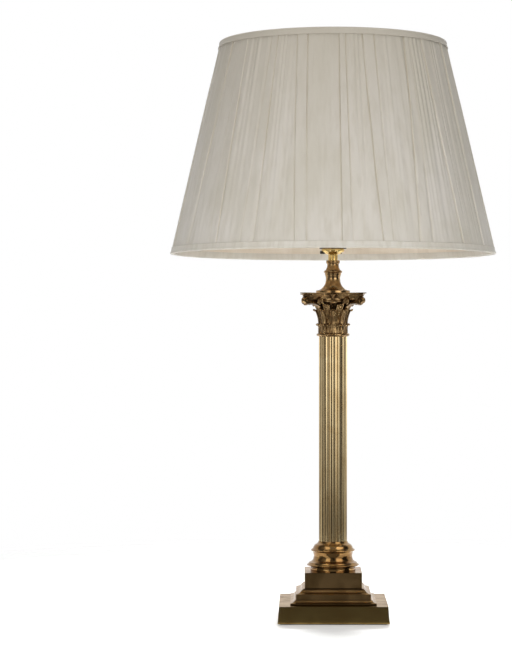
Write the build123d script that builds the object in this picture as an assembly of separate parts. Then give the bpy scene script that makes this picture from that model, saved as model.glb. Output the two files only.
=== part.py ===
from build123d import *
from itertools import accumulate
from math import asin, cos, pi, radians, sin, sqrt
import os

# Brass column table lamp with a pleated silk shade. Millimetres, +Z up, front at -Y.
# The origin is the centre of the face that the lamp stands on.

# ---- fits ----
ROD_GAP = 0.25  # tie rod in the bores of the castings
THREAD_GAP = 0.05  # between a screwed piece and the thread it sits on
SPIGOT_GAP = 0.15  # spigot in the shaft's bore
RUNNING_GAP = 0.08  # between a moving piece and its guide, on the radius
SLOT_GAP = 0.25  # bayonet pin in its slot
PANEL_GAP = 0.3  # plate, weight and insulator inside their housings
CLOTH_GAP = 0.1  # between the layers of the shade

# ---- curves ----
TURNED_RUNS = 3  # cones that stand for each curve of a turned piece
SCROLL_RUNS = 2  # flats that stand for each quarter of a scroll

# ---- shaft ----
SHAFT_R = 17.7  # over the lands between the flutes
SHAFT_L = 255.0
FLUTES = 16
FLUTE_DEPTH = 1.8
FLUTE_LAND = 1.5  # width left between two flutes
SHAFT_WALL = 2.0  # wall behind a flute
SPIGOT_L = 5.0  # reach of the base's and the capital's spigots into the shaft
SPIGOT_WALL = 2.2

# ---- column base, from the pedestal up; "out" is how far an edge stands out from the shaft ----
BASE_DISC_H = 3.2
BASE_DISC_OUT = 10.4
BASE_GROOVE_H = 1.2
BASE_GROOVE_OUT = 9.3
LOWER_TORUS_UNDER_H = 2.3
LOWER_TORUS_H = 5.9
LOWER_TORUS_OUT = 14.8
SCOTIA_H = 9.8
SCOTIA_OUT = 7.1
SCOTIA_DEPTH = 0.8
UPPER_TORUS_UNDER_H = 2.6
UPPER_TORUS_H = 8.0
UPPER_TORUS_OUT = 9.6
NECKING_H = 3.0
NECKING_OUT = 1.7

# ---- pedestal and plinth ----
CASTING_WALL = 3.5
DIE_H = 19.2
DIE_MARGIN = 2.85  # from the lower torus to the pedestal's face
COVE_OUT = 2.15  # moulding beyond the pedestal's face at the cove's top
COVE_H = 6.7
BAND_OUT = 10.8
BAND_H = 6.3
CYMA_H = 3.3
FILLET_OUT = 17.6
FILLET_H = 2.3
PLINTH_LEDGE = 13.7  # from the moulding's fillet to the plinth's top edge
PLINTH_CANT = 1.15  # how far the sides spread from top to foot
PLINTH_H = 20.7
FOOT_EDGE_H = 1.8
FOOT_EDGE_OUT = 0.5
FELT_T = 1.0
FELT_INSET = 2.5
PLATE_T = 2.0
BOSS_R = 5.0  # corner bosses that take the plate's screws
SCREW_R = 2.0
SCREW_HEAD_R = 3.9
SCREW_HEAD_H = 1.2
SCREW_L = 12.0
WELL_R = 16.0  # hole in the weight round the tie rod's nut
CHANNEL_W = 9.0  # groove in the weight for the cord
BUSH_Z = 11.5  # height of the cord bush
BUSH_BORE_R = 3.6
BUSH_WALL = 1.3
BUSH_FLANGE = 2.0
BUSH_FLANGE_T = 1.6
BUSH_SPOT_DEPTH = 1.0  # flat let into the canted back for the bush's flange
BUSH_TAIL = 3.0  # sleeve beyond the wall, inside

# ---- tie rod ----
ROD_R = 5.0
ROD_BORE_R = 3.25
ROD_TAIL = 2.0  # below the nut
NUT_FLATS = 17.0
NUT_H = 5.0
WASHER_R = 12.0
WASHER_T = 1.6

# ---- capital, heights above its foot ----
CAPITAL_H = 54.1
ASTRAGAL_H = 4.5
ASTRAGAL_OUT = 2.9
BELL_IN = 0.9  # bell inside the shaft's line, under the leaves
BELL_THROAT_Z = 22.0
BELL_LIP_OUT = 7.3
LEAVES = 8
LOWER_LEAF_TIP_Z = 16.2
LOWER_LEAF_REACH = 3.2  # curled tip beyond the shaft's line
LOWER_LEAF_CURL = 3.6  # height over which a leaf leans out to its tip
LOWER_LEAF_W = 12.4
UPPER_LEAF_FOOT_Z = 10.0
UPPER_LEAF_TIP_Z = 34.8
UPPER_LEAF_REACH = 6.4
UPPER_LEAF_CURL = 12.0
UPPER_LEAF_W = 11.4
LEAF_T = 1.7
RIB_W = 1.3
RIB_OUT = 0.5
ABACUS_H = 7.6
ABACUS_HALF = 40.8  # axis to the tips of the horns
ABACUS_WAIST = 27.0  # axis to the middle of a hollowed side
HORN_CUT = 5.0
ABACUS_LIP_T = 1.1
ABACUS_LIP_OUT = 2.9
ABACUS_CAVETTO_IN = 2.2
VOLUTE_R = 4.5
VOLUTE_REACH = 48.8  # axis to the centre of a scroll, on the diagonal
VOLUTE_Z = 44.2
VOLUTE_W = 6.0
VOLUTE_WEB_W = 3.8
VOLUTE_BAND = 1.05
VOLUTE_QUARTERS = 5
VOLUTE_SHRINK = 0.85  # radius left after each quarter turn
VOLUTE_EYE_R = 1.2
HELIX_R = 3.0  # small scrolls beside the flowers
HELIX_SIDES = 8
HELIX_X = 16.0
HELIX_REACH = 30.0
HELIX_Z = 44.6
FLOWER_R = 4.3
FLOWER_PETALS = 8
FLOWER_REACH = 27.6
FLOWER_Z = 43.4

# ---- vase stem ----
STEM_FOOT_H = 3.3
STEM_FOOT_R = 21.3
STEM_BELL_R = 17.8
STEM_BELL_H = 14.0
STEM_BELL_HOLLOW = 2.4
STEM_NECK_R = 9.0
STEM_SWELL_H = 6.0
STEM_SWELL = 1.2
STEM_RING_H = 5.0
STEM_RING_OUT = 1.1
STEM_TAPER_H = 6.3
STEM_WAIST_WALL = 2.0  # brass round the tie rod at the narrowest place
STEM_FLARE_H = 3.7
STEM_FLARE = 1.2
COLLAR_R = 8.6
COLLAR_H = 2.4

# ---- lampholder ----
NECK_WALL = 0.85
NECK_H = 7.6
DOME_H = 4.5
DOME_FULLNESS = 0.7  # share of the dome's width that it has at half its height
RIM_H = 2.5
SHEET_T = 0.9
SKIRT_R = 13.35
SKIRT_T = 0.8
SKIRT_L = 34.0
SKIRT_LIP = 1.0
INSULATOR_H = 13.6
PLUNGER_R = 2.2
PLUNGER_OUT = 3.2
CONTACT_SPREAD = 5.2  # axis to a contact
TERMINAL_SPREAD = 7.2
TERMINAL_HEAD_R = 1.7
TERMINAL_HEAD_H = 1.5
TERMINAL_SHANK_R = 0.9
TERMINAL_SHANK_L = 4.0
BAR_TIP_R = 2.05
BAR_R = 1.5
BAR_TIP_L = 6.0
BAR_L = 27.4
BAR_TRAVEL = 5.0
BAR_DROP = 2.05  # from the dome's rim down to the bar's axis
SHADE_RING_H = 6.0
SHADE_RING_T = 3.2
KNURLS = 24
KNURL_R = 0.7

# ---- bulb ----
BULB_CAP_R = 11.0
BULB_CAP_T = 0.5
BULB_CAP_H = 23.0
PIN_R = 1.1
PIN_REACH = 13.2
PIN_Z = 6.5  # above the bulb's contacts
BAYONET_TURN = 18.0
PAD_R = 2.3
PAD_H = 1.0
BASE_DISC_T = 2.5
HOUSING_H = 38.0
HOUSING_SEAT_L = 4.0
HOUSING_SHOULDER = 2.5
GLOBE_R = 30.0
GLOBE_RISE = 13.0  # from the housing's top to the globe's widest place
GLOBE_RUNS = 10

# ---- shade carrier ----
CARRIER_T = 2.0
CARRIER_RING_W = 3.4
CARRIER_H = 210.0  # from the holder's rim to the seat
TAB_W = 9.0
TAB_REACH = 25.0
ARM_R = 1.5
ARM_EDGE = 2.5  # from an arm's centre to the tab's end
ARM_RISE = 8.0
ARM_KNEE_Z = 48.0  # above the tab
ARM_BEND_R = 9.0
SEAT_T = 1.5
SEAT_R = 52.0
SEAT_W = 8.6
UPSTAND_T = 1.2
UPSTAND_H = 5.0

# ---- shade ----
SHADE_H = 264.0
SHADE_BOTTOM_R = 203.0
SHADE_TOP_R = 141.4
BINDING_H = 8.5
BINDING_T = 0.8
PLEATS = 22
PLEAT_LIFT = 0.8
PLEAT_STRIP = 0.25  # part of a repeat that the fold's strip takes
PLEAT_EDGE = 0.03  # part of a repeat over which the cloth rises on to the strip
PLEAT_STEPS = 8  # flats that stand for the round of the cloth in a repeat
PLEAT_WANDER = 0.1  # how unevenly the pleats are laid, in repeats
COVER_T = 0.7
WIRE_R = 1.25
WIRE_SIDES = 6  # flats that stand for the round of every drawn wire
LINING_T = 0.5
RIBS = 8
WELD = 0.6  # how far short of a ring's centre line a wire stops
STRUTS = 3
DUPLEX_RECESS = 46.6  # shade's top above the carrier's seat
DUPLEX_W = 5.0
DUPLEX_T = 2.5
DUPLEX_GAP = 0.6

# ---- sizes and heights that follow ----
PLINTH_TOP_Z, MOULDING_TOP_Z, DIE_TOP_Z = accumulate(
    (FELT_T + PLINTH_H, FILLET_H + CYMA_H + BAND_H + COVE_H, DIE_H)
)
BASE_H = (
    BASE_DISC_H + BASE_GROOVE_H + LOWER_TORUS_UNDER_H + LOWER_TORUS_H + SCOTIA_H
    + UPPER_TORUS_UNDER_H + UPPER_TORUS_H + NECKING_H
)
STEM_H = (
    STEM_FOOT_H + STEM_BELL_H + STEM_SWELL_H + STEM_RING_H + STEM_TAPER_H + STEM_FLARE_H
)
BASE_TOP_Z, SHAFT_TOP_Z, CAPITAL_TOP_Z, STEM_TOP_Z, COLLAR_TOP_Z, NECK_TOP_Z, RIM_Z, HOLDER_Z = accumulate(
    (DIE_TOP_Z + BASE_H, SHAFT_L, CAPITAL_H, STEM_H, COLLAR_H, NECK_H, DOME_H, RIM_H)
)
DIE_W = 2 * (SHAFT_R + LOWER_TORUS_OUT + DIE_MARGIN)
PLINTH_TOP_W = DIE_W + 2 * (FILLET_OUT + PLINTH_LEDGE)
PLINTH_FOOT_W = PLINTH_TOP_W + 2 * (PLINTH_CANT + FOOT_EDGE_OUT)
CAVITY_W = PLINTH_TOP_W - 2 * CASTING_WALL
CAVITY_TOP_Z = PLINTH_TOP_Z - CASTING_WALL
PLATE_TOP_Z = FELT_T + PLATE_T
BOSS_XY = CAVITY_W / 2 - BOSS_R + 1.0
SHAFT_BORE_R = SHAFT_R - FLUTE_DEPTH - SHAFT_WALL
SPIGOT_R = SHAFT_BORE_R - SPIGOT_GAP
SPIGOT_BORE_R = SPIGOT_R - SPIGOT_WALL
ROD_HOLE_R = ROD_R + ROD_GAP
BELL_R = SHAFT_R - BELL_IN
THREAD_R = ROD_R + THREAD_GAP
NECK_R = THREAD_R + NECK_WALL
CAP_RIM_R = SKIRT_R + THREAD_GAP + SHEET_T
SKIRT_FOOT_Z = HOLDER_Z - RIM_H + 0.7
SKIRT_TOP_Z = SKIRT_FOOT_Z + SKIRT_L
SKIRT_BORE_R = SKIRT_R - SKIRT_T
INSULATOR_Z = SKIRT_FOOT_Z + SKIRT_LIP
INSULATOR_TOP_Z = INSULATOR_Z + INSULATOR_H
CONTACT_Z = INSULATOR_TOP_Z + PLUNGER_OUT
BAR_Z = RIM_Z - BAR_DROP
BAR_X = -BAR_TRAVEL / 2  # the bar's middle when its left end is out
BULB_CAP_Z = CONTACT_Z + PAD_H
BULB_CAP_TOP_Z = BULB_CAP_Z + BULB_CAP_H
HOUSING_TOP_Z = BULB_CAP_TOP_Z + HOUSING_H
CARRIER_TOP_Z = HOLDER_Z + CARRIER_T
CARRIER_BORE_R = SKIRT_R + RUNNING_GAP
SEAT_Z = HOLDER_Z + CARRIER_H
ARM_FOOT_Y = TAB_REACH - ARM_EDGE
ARM_TOP_Y = SEAT_R - SEAT_W / 2
SHADE_TOP_Z = SEAT_Z + DUPLEX_RECESS
SHADE_BOTTOM_Z = SHADE_TOP_Z - SHADE_H
UPSTAND_R = SEAT_R - SEAT_W + UPSTAND_T + 1.0
DUPLEX_R = UPSTAND_R + DUPLEX_GAP

# radial stack of the shade, inwards from the outside of its bindings
CREST_IN = BINDING_T + CLOTH_GAP
COVER_INNER_IN = CREST_IN + PLEAT_LIFT + COVER_T
WIRE_IN = COVER_INNER_IN + CLOTH_GAP + WIRE_R
LINING_IN = WIRE_IN + WIRE_R + CLOTH_GAP
BINDING_INNER_IN = LINING_IN + LINING_T + CLOTH_GAP + BINDING_T
RING_END = BINDING_T + CLOTH_GAP + WIRE_R  # a frame ring's centre below the binding's edge


# ---- tools of the drawing board ----
def outline(points, close=True):
    """Edges through (across, up, bulge) points; a bulge bends the run that leads to it outwards, on its right."""
    run = [*points, points[0]] if close else points
    edges = []
    for (across, up, *_), (next_across, next_up, *bulge) in zip(run, run[1:]):
        start = (across, up)
        end = (next_across, next_up)
        edges.append(SagittaArc(start, end, -bulge[0]) if bulge else Line(start, end))
    return edges


def section(*points):
    """The closed flat section of an outline."""
    return make_face(outline(points))


def straight_runs(edges, count):
    """The same edges, with each arc as a number of straight runs."""
    runs = []
    for edge in edges:
        cuts = 1 if edge.geom_type == GeomType.LINE else count
        stops = [edge @ (i / cuts) for i in range(cuts + 1)]
        runs += [Line(start, end) for start, end in zip(stops, stops[1:])]
    return runs


def turned(*points):
    """A lathe piece: its (radius, height, bulge) section revolved about the lamp's axis."""
    return revolve(Plane.XZ * make_face(straight_runs(outline(points), TURNED_RUNS)), Axis.Z)


def mitred(half_width, *points):
    """A square moulding: its half outline, mirrored, is run along both sides and mitred at the corners."""
    foot = points[0][1]
    top = points[-1][1]
    half = section((0, foot), *points, (0, top))
    both_halves = half + mirror(half, about=Plane.YZ)
    run = extrude(Plane.XZ * both_halves, half_width + 1, both=True)
    return run & Rot(0, 0, 90) * run


def block(width, foot, top):
    """A square block about the axis."""
    return Pos(0, 0, foot) * Box(width, width, top - foot, align=(Align.CENTER, Align.CENTER, Align.MIN))


def rod(radius, foot, top, x=0, y=0):
    """An upright cylinder."""
    return Pos(x, y, foot) * Cylinder(radius, top - foot, align=(Align.CENTER, Align.CENTER, Align.MIN))


def tube(radius, bore, foot, top):
    """An upright tube about the axis."""
    return rod(radius, foot, top) - rod(bore, foot, top)


def wire_between(start, end, radius):
    """A straight wire from one point to another, drawn with flats."""
    line = Line(start, end)
    return sweep(Plane(origin=start, z_dir=line % 0) * RegularPolygon(radius, WIRE_SIDES), path=line)


def along_x(radius, start, end, y=0, z=0):
    """A cylinder along X."""
    return Pos(start, y, z) * Rot(0, 90, 0) * Cylinder(
        radius, end - start, align=(Align.CENTER, Align.CENTER, Align.MIN)
    )


def around(shape, count, start=0.0):
    """Copies of a shape at equal turns about the axis."""
    return [Rot(0, 0, start + 360 / count * i) * shape for i in range(count)]


def corners(offset):
    """The four places of a square pattern."""
    return [Pos(sx * offset, sy * offset, 0) for sx in (-1, 1) for sy in (-1, 1)]


def shade_r(z, inset=0.0):
    """Radius of the shade's cone at a height, less an inset."""
    share = (z - SHADE_BOTTOM_Z) / SHADE_H
    return SHADE_BOTTOM_R + (SHADE_TOP_R - SHADE_BOTTOM_R) * share - inset


# ---- plinth and pedestal ----
def felt_pad():
    """Felt glued under the plinth, a little inside its edge."""
    return extrude(RectangleRounded(PLINTH_FOOT_W - 2 * FELT_INSET, PLINTH_FOOT_W - 2 * FELT_INSET, 4), FELT_T)


def bush_seat_y():
    """Y of the flat let into the plinth's canted back for the cord bush."""
    share = (BUSH_Z - FELT_T) / PLINTH_H
    return PLINTH_TOP_W / 2 + PLINTH_CANT * (1 - share) - BUSH_SPOT_DEPTH


def along_y(radius, start, end, z):
    """A cylinder along Y through X = 0."""
    return Pos(0, start, z) * Rot(-90, 0, 0) * Cylinder(
        radius, end - start, align=(Align.CENTER, Align.CENTER, Align.MIN)
    )


def plinth():
    """Cast slab with canted sides and a proud foot edge, hollow below, with a boss in each corner."""
    foot_z = FELT_T
    slab = mitred(
        PLINTH_FOOT_W / 2,
        (PLINTH_FOOT_W / 2, foot_z),
        (PLINTH_FOOT_W / 2, foot_z + FOOT_EDGE_H),
        (PLINTH_FOOT_W / 2 - FOOT_EDGE_OUT, foot_z + FOOT_EDGE_H),
        (PLINTH_TOP_W / 2, PLINTH_TOP_Z),
    )
    hollow = block(CAVITY_W, foot_z, CAVITY_TOP_Z)
    bosses = [spot * rod(BOSS_R, PLATE_TOP_Z, CAVITY_TOP_Z) for spot in corners(BOSS_XY)]
    tapped = [spot * rod(SCREW_R + THREAD_GAP, PLATE_TOP_Z, FELT_T + SCREW_L) for spot in corners(BOSS_XY)]
    seat_y = bush_seat_y()
    bush_r = BUSH_BORE_R + BUSH_WALL
    bush_hole = along_y(bush_r + THREAD_GAP, CAVITY_W / 2 - 1, PLINTH_FOOT_W / 2, BUSH_Z)
    spot_face = along_y(bush_r + BUSH_FLANGE + PANEL_GAP, seat_y, PLINTH_FOOT_W, BUSH_Z)
    rod_hole = rod(ROD_HOLE_R, CAVITY_TOP_Z, PLINTH_TOP_Z)
    return slab - hollow + bosses - tapped - rod_hole - bush_hole - spot_face


def cord_bush():
    """Flanged sleeve in the plinth's back, where a cord leaves the lamp."""
    seat_y = bush_seat_y()
    bush_r = BUSH_BORE_R + BUSH_WALL
    tail_y = CAVITY_W / 2 - BUSH_TAIL
    sleeve = along_y(bush_r, tail_y, seat_y, BUSH_Z)
    flange = along_y(bush_r + BUSH_FLANGE, seat_y, seat_y + BUSH_FLANGE_T, BUSH_Z)
    rim = flange.faces().sort_by(Axis.Y)[-1].edges()
    flange = chamfer(rim, BUSH_FLANGE_T / 3)
    return sleeve + flange - along_y(BUSH_BORE_R, tail_y, seat_y + BUSH_FLANGE_T, BUSH_Z)


def base_plate():
    """Steel plate that closes the plinth, with a stepped hole in each corner."""
    plate = block(CAVITY_W - 2 * PANEL_GAP, FELT_T, PLATE_TOP_Z)
    return plate - [spot * screw(THREAD_GAP, PLATE_TOP_Z) for spot in corners(BOSS_XY)]


def screw(gap, top):
    """A flat-headed screw, or with a gap the stepped hole for one, from the plate's face up to a height."""
    head = rod(SCREW_HEAD_R + gap, FELT_T, FELT_T + SCREW_HEAD_H)
    return head + rod(SCREW_R + gap, FELT_T, top)


def base_screws():
    """Four flat-headed screws, flush with the plate, into the bosses."""
    return Compound(children=[spot * screw(0, FELT_T + SCREW_L - 1) for spot in corners(BOSS_XY)])


def ballast_weight():
    """Cast iron weight in the plinth: clear of the bosses, holed for the nut, grooved to the bush."""
    top = CAVITY_TOP_Z - PANEL_GAP
    weight = block(CAVITY_W - 2 * PANEL_GAP, PLATE_TOP_Z, top)
    corner_w = 2 * (BOSS_R + 1) + 2
    notch = Pos(0, 0, PLATE_TOP_Z) * Box(
        corner_w, corner_w, top - PLATE_TOP_Z, align=(Align.CENTER, Align.CENTER, Align.MIN)
    )
    notches = [Pos(sx * 1.0, sy * 1.0, 0) * Pos(sx * BOSS_XY, sy * BOSS_XY, 0) * notch
               for sx in (-1, 1) for sy in (-1, 1)]
    well = rod(WELL_R, PLATE_TOP_Z, top)
    channel_w = max(CHANNEL_W, 2 * (BUSH_BORE_R + BUSH_WALL) + 1)
    channel = Pos(0, 0, PLATE_TOP_Z) * Box(
        channel_w, CAVITY_W / 2, top - PLATE_TOP_Z, align=(Align.CENTER, Align.MIN, Align.MIN)
    )
    return weight - notches - well - channel


def stepped_moulding():
    """Cast square moulding: fillet, sloped cyma, upright band and cove."""
    z0, z_fillet, z_cyma, z_band, top = accumulate((PLINTH_TOP_Z, FILLET_H, CYMA_H, BAND_H, COVE_H))
    half = DIE_W / 2
    lip = COVE_H / 6
    body = mitred(
        half + FILLET_OUT,
        (half + FILLET_OUT, z0),
        (half + FILLET_OUT, z_fillet),
        (half + FILLET_OUT - 1.2, z_fillet),
        (half + BAND_OUT + 1.2, z_cyma, -CYMA_H / 5),
        (half + BAND_OUT, z_cyma),
        (half + BAND_OUT, z_band),
        (half + BAND_OUT - 1.0, z_band + lip, lip / 3),
        (half + COVE_OUT + 1.0, top - lip, -COVE_H / 6),
        (half + COVE_OUT, top - lip),
        (half + COVE_OUT, top),
    )
    hollow = block(DIE_W - 2 * CASTING_WALL, z0, top - CASTING_WALL)
    return body - hollow - rod(ROD_HOLE_R, z0, top)


def pedestal_block():
    """Square die under the column, cast hollow."""
    body = block(DIE_W, MOULDING_TOP_Z, DIE_TOP_Z)
    hollow = block(DIE_W - 2 * CASTING_WALL, MOULDING_TOP_Z, DIE_TOP_Z - CASTING_WALL)
    return body - hollow - rod(ROD_HOLE_R, MOULDING_TOP_Z, DIE_TOP_Z)


# ---- column ----
def column_base():
    """Turned Attic base: disc, lower torus, scotia, upper torus and necking, with a spigot for the shaft."""
    z0, z_disc, z_groove, z_low, z_scotia, z_under, z_up, z_neck, top = accumulate(
        (DIE_TOP_Z, BASE_DISC_H, BASE_GROOVE_H, LOWER_TORUS_UNDER_H, LOWER_TORUS_H, SCOTIA_H,
         UPPER_TORUS_UNDER_H, UPPER_TORUS_H, NECKING_H)
    )
    groove_r = SHAFT_R + BASE_GROOVE_OUT
    low_r = SHAFT_R + LOWER_TORUS_OUT
    scotia_r = SHAFT_R + SCOTIA_OUT
    up_r = SHAFT_R + UPPER_TORUS_OUT
    neck_r = SHAFT_R + NECKING_OUT
    edge = 0.5
    return turned(
        (SPIGOT_BORE_R, z0),
        (SHAFT_R + BASE_DISC_OUT, z0),
        (SHAFT_R + BASE_DISC_OUT, z_disc),
        (groove_r, z_disc),
        (groove_r, z_groove),
        (low_r, z_low - edge),
        (low_r, z_low + edge),
        (scotia_r + edge, z_scotia, LOWER_TORUS_H / 6),
        (scotia_r, z_scotia + 2 * edge),
        (scotia_r, z_under - edge, -SCOTIA_DEPTH),
        (up_r, z_under + UPPER_TORUS_UNDER_H - edge),
        (up_r, z_under + UPPER_TORUS_UNDER_H + edge),
        (neck_r, z_up + UPPER_TORUS_H, UPPER_TORUS_H / 6),
        (SHAFT_R + edge, top),
        (SPIGOT_R, top),
        (SPIGOT_R, top + SPIGOT_L),
        (SPIGOT_BORE_R, top + SPIGOT_L),
    )


def column_shaft():
    """Fluted tube: each flute is an arc between two lands."""
    pitch = 2 * pi / FLUTES
    half_angle = (pitch - FLUTE_LAND / SHAFT_R) / 2
    half_chord = SHAFT_R * sin(half_angle)
    sagitta = FLUTE_DEPTH - SHAFT_R * (1 - cos(half_angle))
    cutter_r = (half_chord**2 + sagitta**2) / (2 * sagitta)
    cutter_at = SHAFT_R - FLUTE_DEPTH + cutter_r
    flute = Pos(0, -cutter_at) * Circle(cutter_r)
    fluted = Circle(SHAFT_R) - around(flute, FLUTES) - Circle(SHAFT_BORE_R)
    return Pos(0, 0, BASE_TOP_Z) * extrude(fluted, SHAFT_L)


# ---- capital ----
def abacus_plan(half, waist):
    """Plan of the abacus: four hollowed sides between blunt horns."""
    tip = half - HORN_CUT
    side = ThreePointArc((-tip, -half), (0, -waist), (tip, -half))
    horn = Line((tip, -half), (half, -tip))
    sides = [Rot(0, 0, 90 * i) * edge for i in range(4) for edge in (side, horn)]
    return make_face(sides)


def abacus(foot_z):
    """Cavetto, slab and thin lip, each hollowed on four sides."""
    top = foot_z + ABACUS_H
    slab_half = ABACUS_HALF - ABACUS_LIP_OUT
    slab_waist = ABACUS_WAIST - ABACUS_LIP_OUT / 3
    cavetto_h = ABACUS_H * 0.45
    cavetto = abacus_plan(slab_half - ABACUS_CAVETTO_IN, slab_waist - ABACUS_CAVETTO_IN)
    slab = abacus_plan(slab_half, slab_waist)
    lip = abacus_plan(ABACUS_HALF, ABACUS_WAIST)
    return (
        Pos(0, 0, foot_z) * extrude(cavetto, cavetto_h)
        + Pos(0, 0, foot_z + cavetto_h) * extrude(slab, ABACUS_H - cavetto_h)
        + Pos(0, 0, top - ABACUS_LIP_T) * extrude(lip, ABACUS_LIP_T)
    )


def leaf(foot, tip, reach, curl, width, z0):
    """One acanthus leaf at the front: a side section that curls out at its tip, cut to a lobed face.

    The rib down its middle is the same section, a little prouder and narrower.
    """
    rise = tip - foot

    def side(proud):
        outer = BELL_R + LEAF_T + proud
        tip_r = SHAFT_R + reach + proud
        return section(
            (BELL_R - LEAF_T, z0 + foot),
            (outer, z0 + foot),
            (outer + 0.2, z0 + tip - curl),
            (outer + (tip_r - outer) * 0.35, z0 + tip - curl * 0.55),
            (tip_r, z0 + tip - 1.8),
            (tip_r - 0.3, z0 + tip - 0.4),
            (tip_r - 1.5, z0 + tip),
            (tip_r - 4.0, z0 + tip - 1.8),
            (BELL_R - LEAF_T, z0 + tip - curl * 0.8),
        )

    half_w = width / 2
    right = section(
        (0, z0 + foot - 1),
        (half_w * 0.75, z0 + foot - 1),
        (half_w, z0 + foot + rise * 0.25),
        (half_w * 0.8, z0 + foot + rise * 0.42),
        (half_w * 0.95, z0 + foot + rise * 0.6),
        (half_w * 0.65, z0 + foot + rise * 0.75),
        (half_w * 0.6, z0 + foot + rise * 0.88),
        (half_w * 0.3, z0 + tip + 0.3),
        (0, z0 + tip + 0.3),
    )
    face = right + mirror(right, about=Plane.YZ)
    front = Rot(0, 0, -90)  # turns a section drawn to the right to point at the front
    deep = extrude(Plane.XZ * face, 2 * SHAFT_R, both=False)
    body = front * extrude(Plane.XZ * side(0), half_w + 2, both=True)
    rib = front * extrude(Plane.XZ * side(RIB_OUT), RIB_W / 2, both=True)
    return (body & deep) + rib


def spiral(radius):
    """Quarter arcs of a scroll from its top, outwards and down, each tangent to the last and smaller."""
    arcs = []
    x = 0.0
    y = 0.0
    for quarter in range(VOLUTE_QUARTERS):
        start = 90 - 90 * quarter
        arcs.append(CenterArc((x, y), radius, start, -90))
        step = radius * (1 - VOLUTE_SHRINK)
        x += step * cos(radians(start - 90))
        y += step * sin(radians(start - 90))
        radius *= VOLUTE_SHRINK
    return arcs


def scroll(radius):
    """Flat spiral band of a scroll about its own centre."""
    outer = straight_runs(spiral(radius), SCROLL_RUNS)
    inner = straight_runs(spiral(radius - VOLUTE_BAND), SCROLL_RUNS)
    ends = [Line(outer[0] @ 0, inner[0] @ 0), Line(outer[-1] @ 1, inner[-1] @ 1)]
    return make_face([*outer, *inner, *ends])


def volute(z0):
    """A corner volute in the plane of X: web, spiral band, eye and the stem that carries it from the bell."""
    cx = VOLUTE_REACH
    cz = z0 + VOLUTE_Z
    quarter = VOLUTE_R * (1 - sqrt(0.5))
    under = cz - VOLUTE_R
    roof = z0 + CAPITAL_H - ABACUS_H + 1
    stem_foot = (SHAFT_R + 1.5, under - 11.5)
    knee = (cx - 3 * VOLUTE_R, under + 0.9)
    web = outline((
        stem_foot,
        (*knee, -3.2),
        (cx, under),
        (cx + VOLUTE_R, cz, quarter),
        (cx, cz + VOLUTE_R, quarter),
        (cx, roof),
        (SHAFT_R + 1.5, roof),
    ))
    rim = outline((
        stem_foot,
        (*knee, -3.2),
        (cx, under),
        (cx, under + VOLUTE_BAND),
        (knee[0] + 0.5, knee[1] + 1.3),
        (stem_foot[0], stem_foot[1] + 2.0, 3.2),
    ))
    web, rim = [make_face(straight_runs(edges, SCROLL_RUNS)) for edges in (web, rim)]
    spiral = Pos(cx, cz) * scroll(VOLUTE_R)
    eye = Pos(cx, cz) * RegularPolygon(VOLUTE_EYE_R, HELIX_SIDES)
    return (
        extrude(Plane.XZ * web, VOLUTE_WEB_W / 2, both=True)
        + extrude(Plane.XZ * rim, VOLUTE_W / 2, both=True)
        + extrude(Plane.XZ * spiral, VOLUTE_W / 2, both=True)
        + extrude(Plane.XZ * eye, VOLUTE_W / 2 + 0.4, both=True)
    )


def small_scroll(z0, side):
    """One of the two small scrolls beside a flower, facing the front."""
    place = Plane(origin=(side * HELIX_X, -HELIX_REACH, z0 + HELIX_Z), z_dir=(0, -1, 0))
    disc = extrude(place * RegularPolygon(HELIX_R, HELIX_SIDES), -HELIX_REACH / 3)
    eye = extrude(place * RegularPolygon(HELIX_R / 3, HELIX_SIDES), 0.8)
    return disc + eye


def fleuron(z0):
    """Flower hanging from the middle of a hollowed side: a knop under a trumpet."""
    z = z0 + FLOWER_Z
    top = z0 + CAPITAL_H - ABACUS_LIP_T - 1
    half_r = FLOWER_R * 0.45
    waist_z = z + FLOWER_R * 0.5
    rings = [(half_r, z - FLOWER_R * 0.5), (FLOWER_R, z), (half_r, waist_z), (FLOWER_R, top)]
    petals = [Pos(0, -FLOWER_REACH, height) * RegularPolygon(radius, FLOWER_PETALS) for radius, height in rings]
    return loft(petals, ruled=True)


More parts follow.
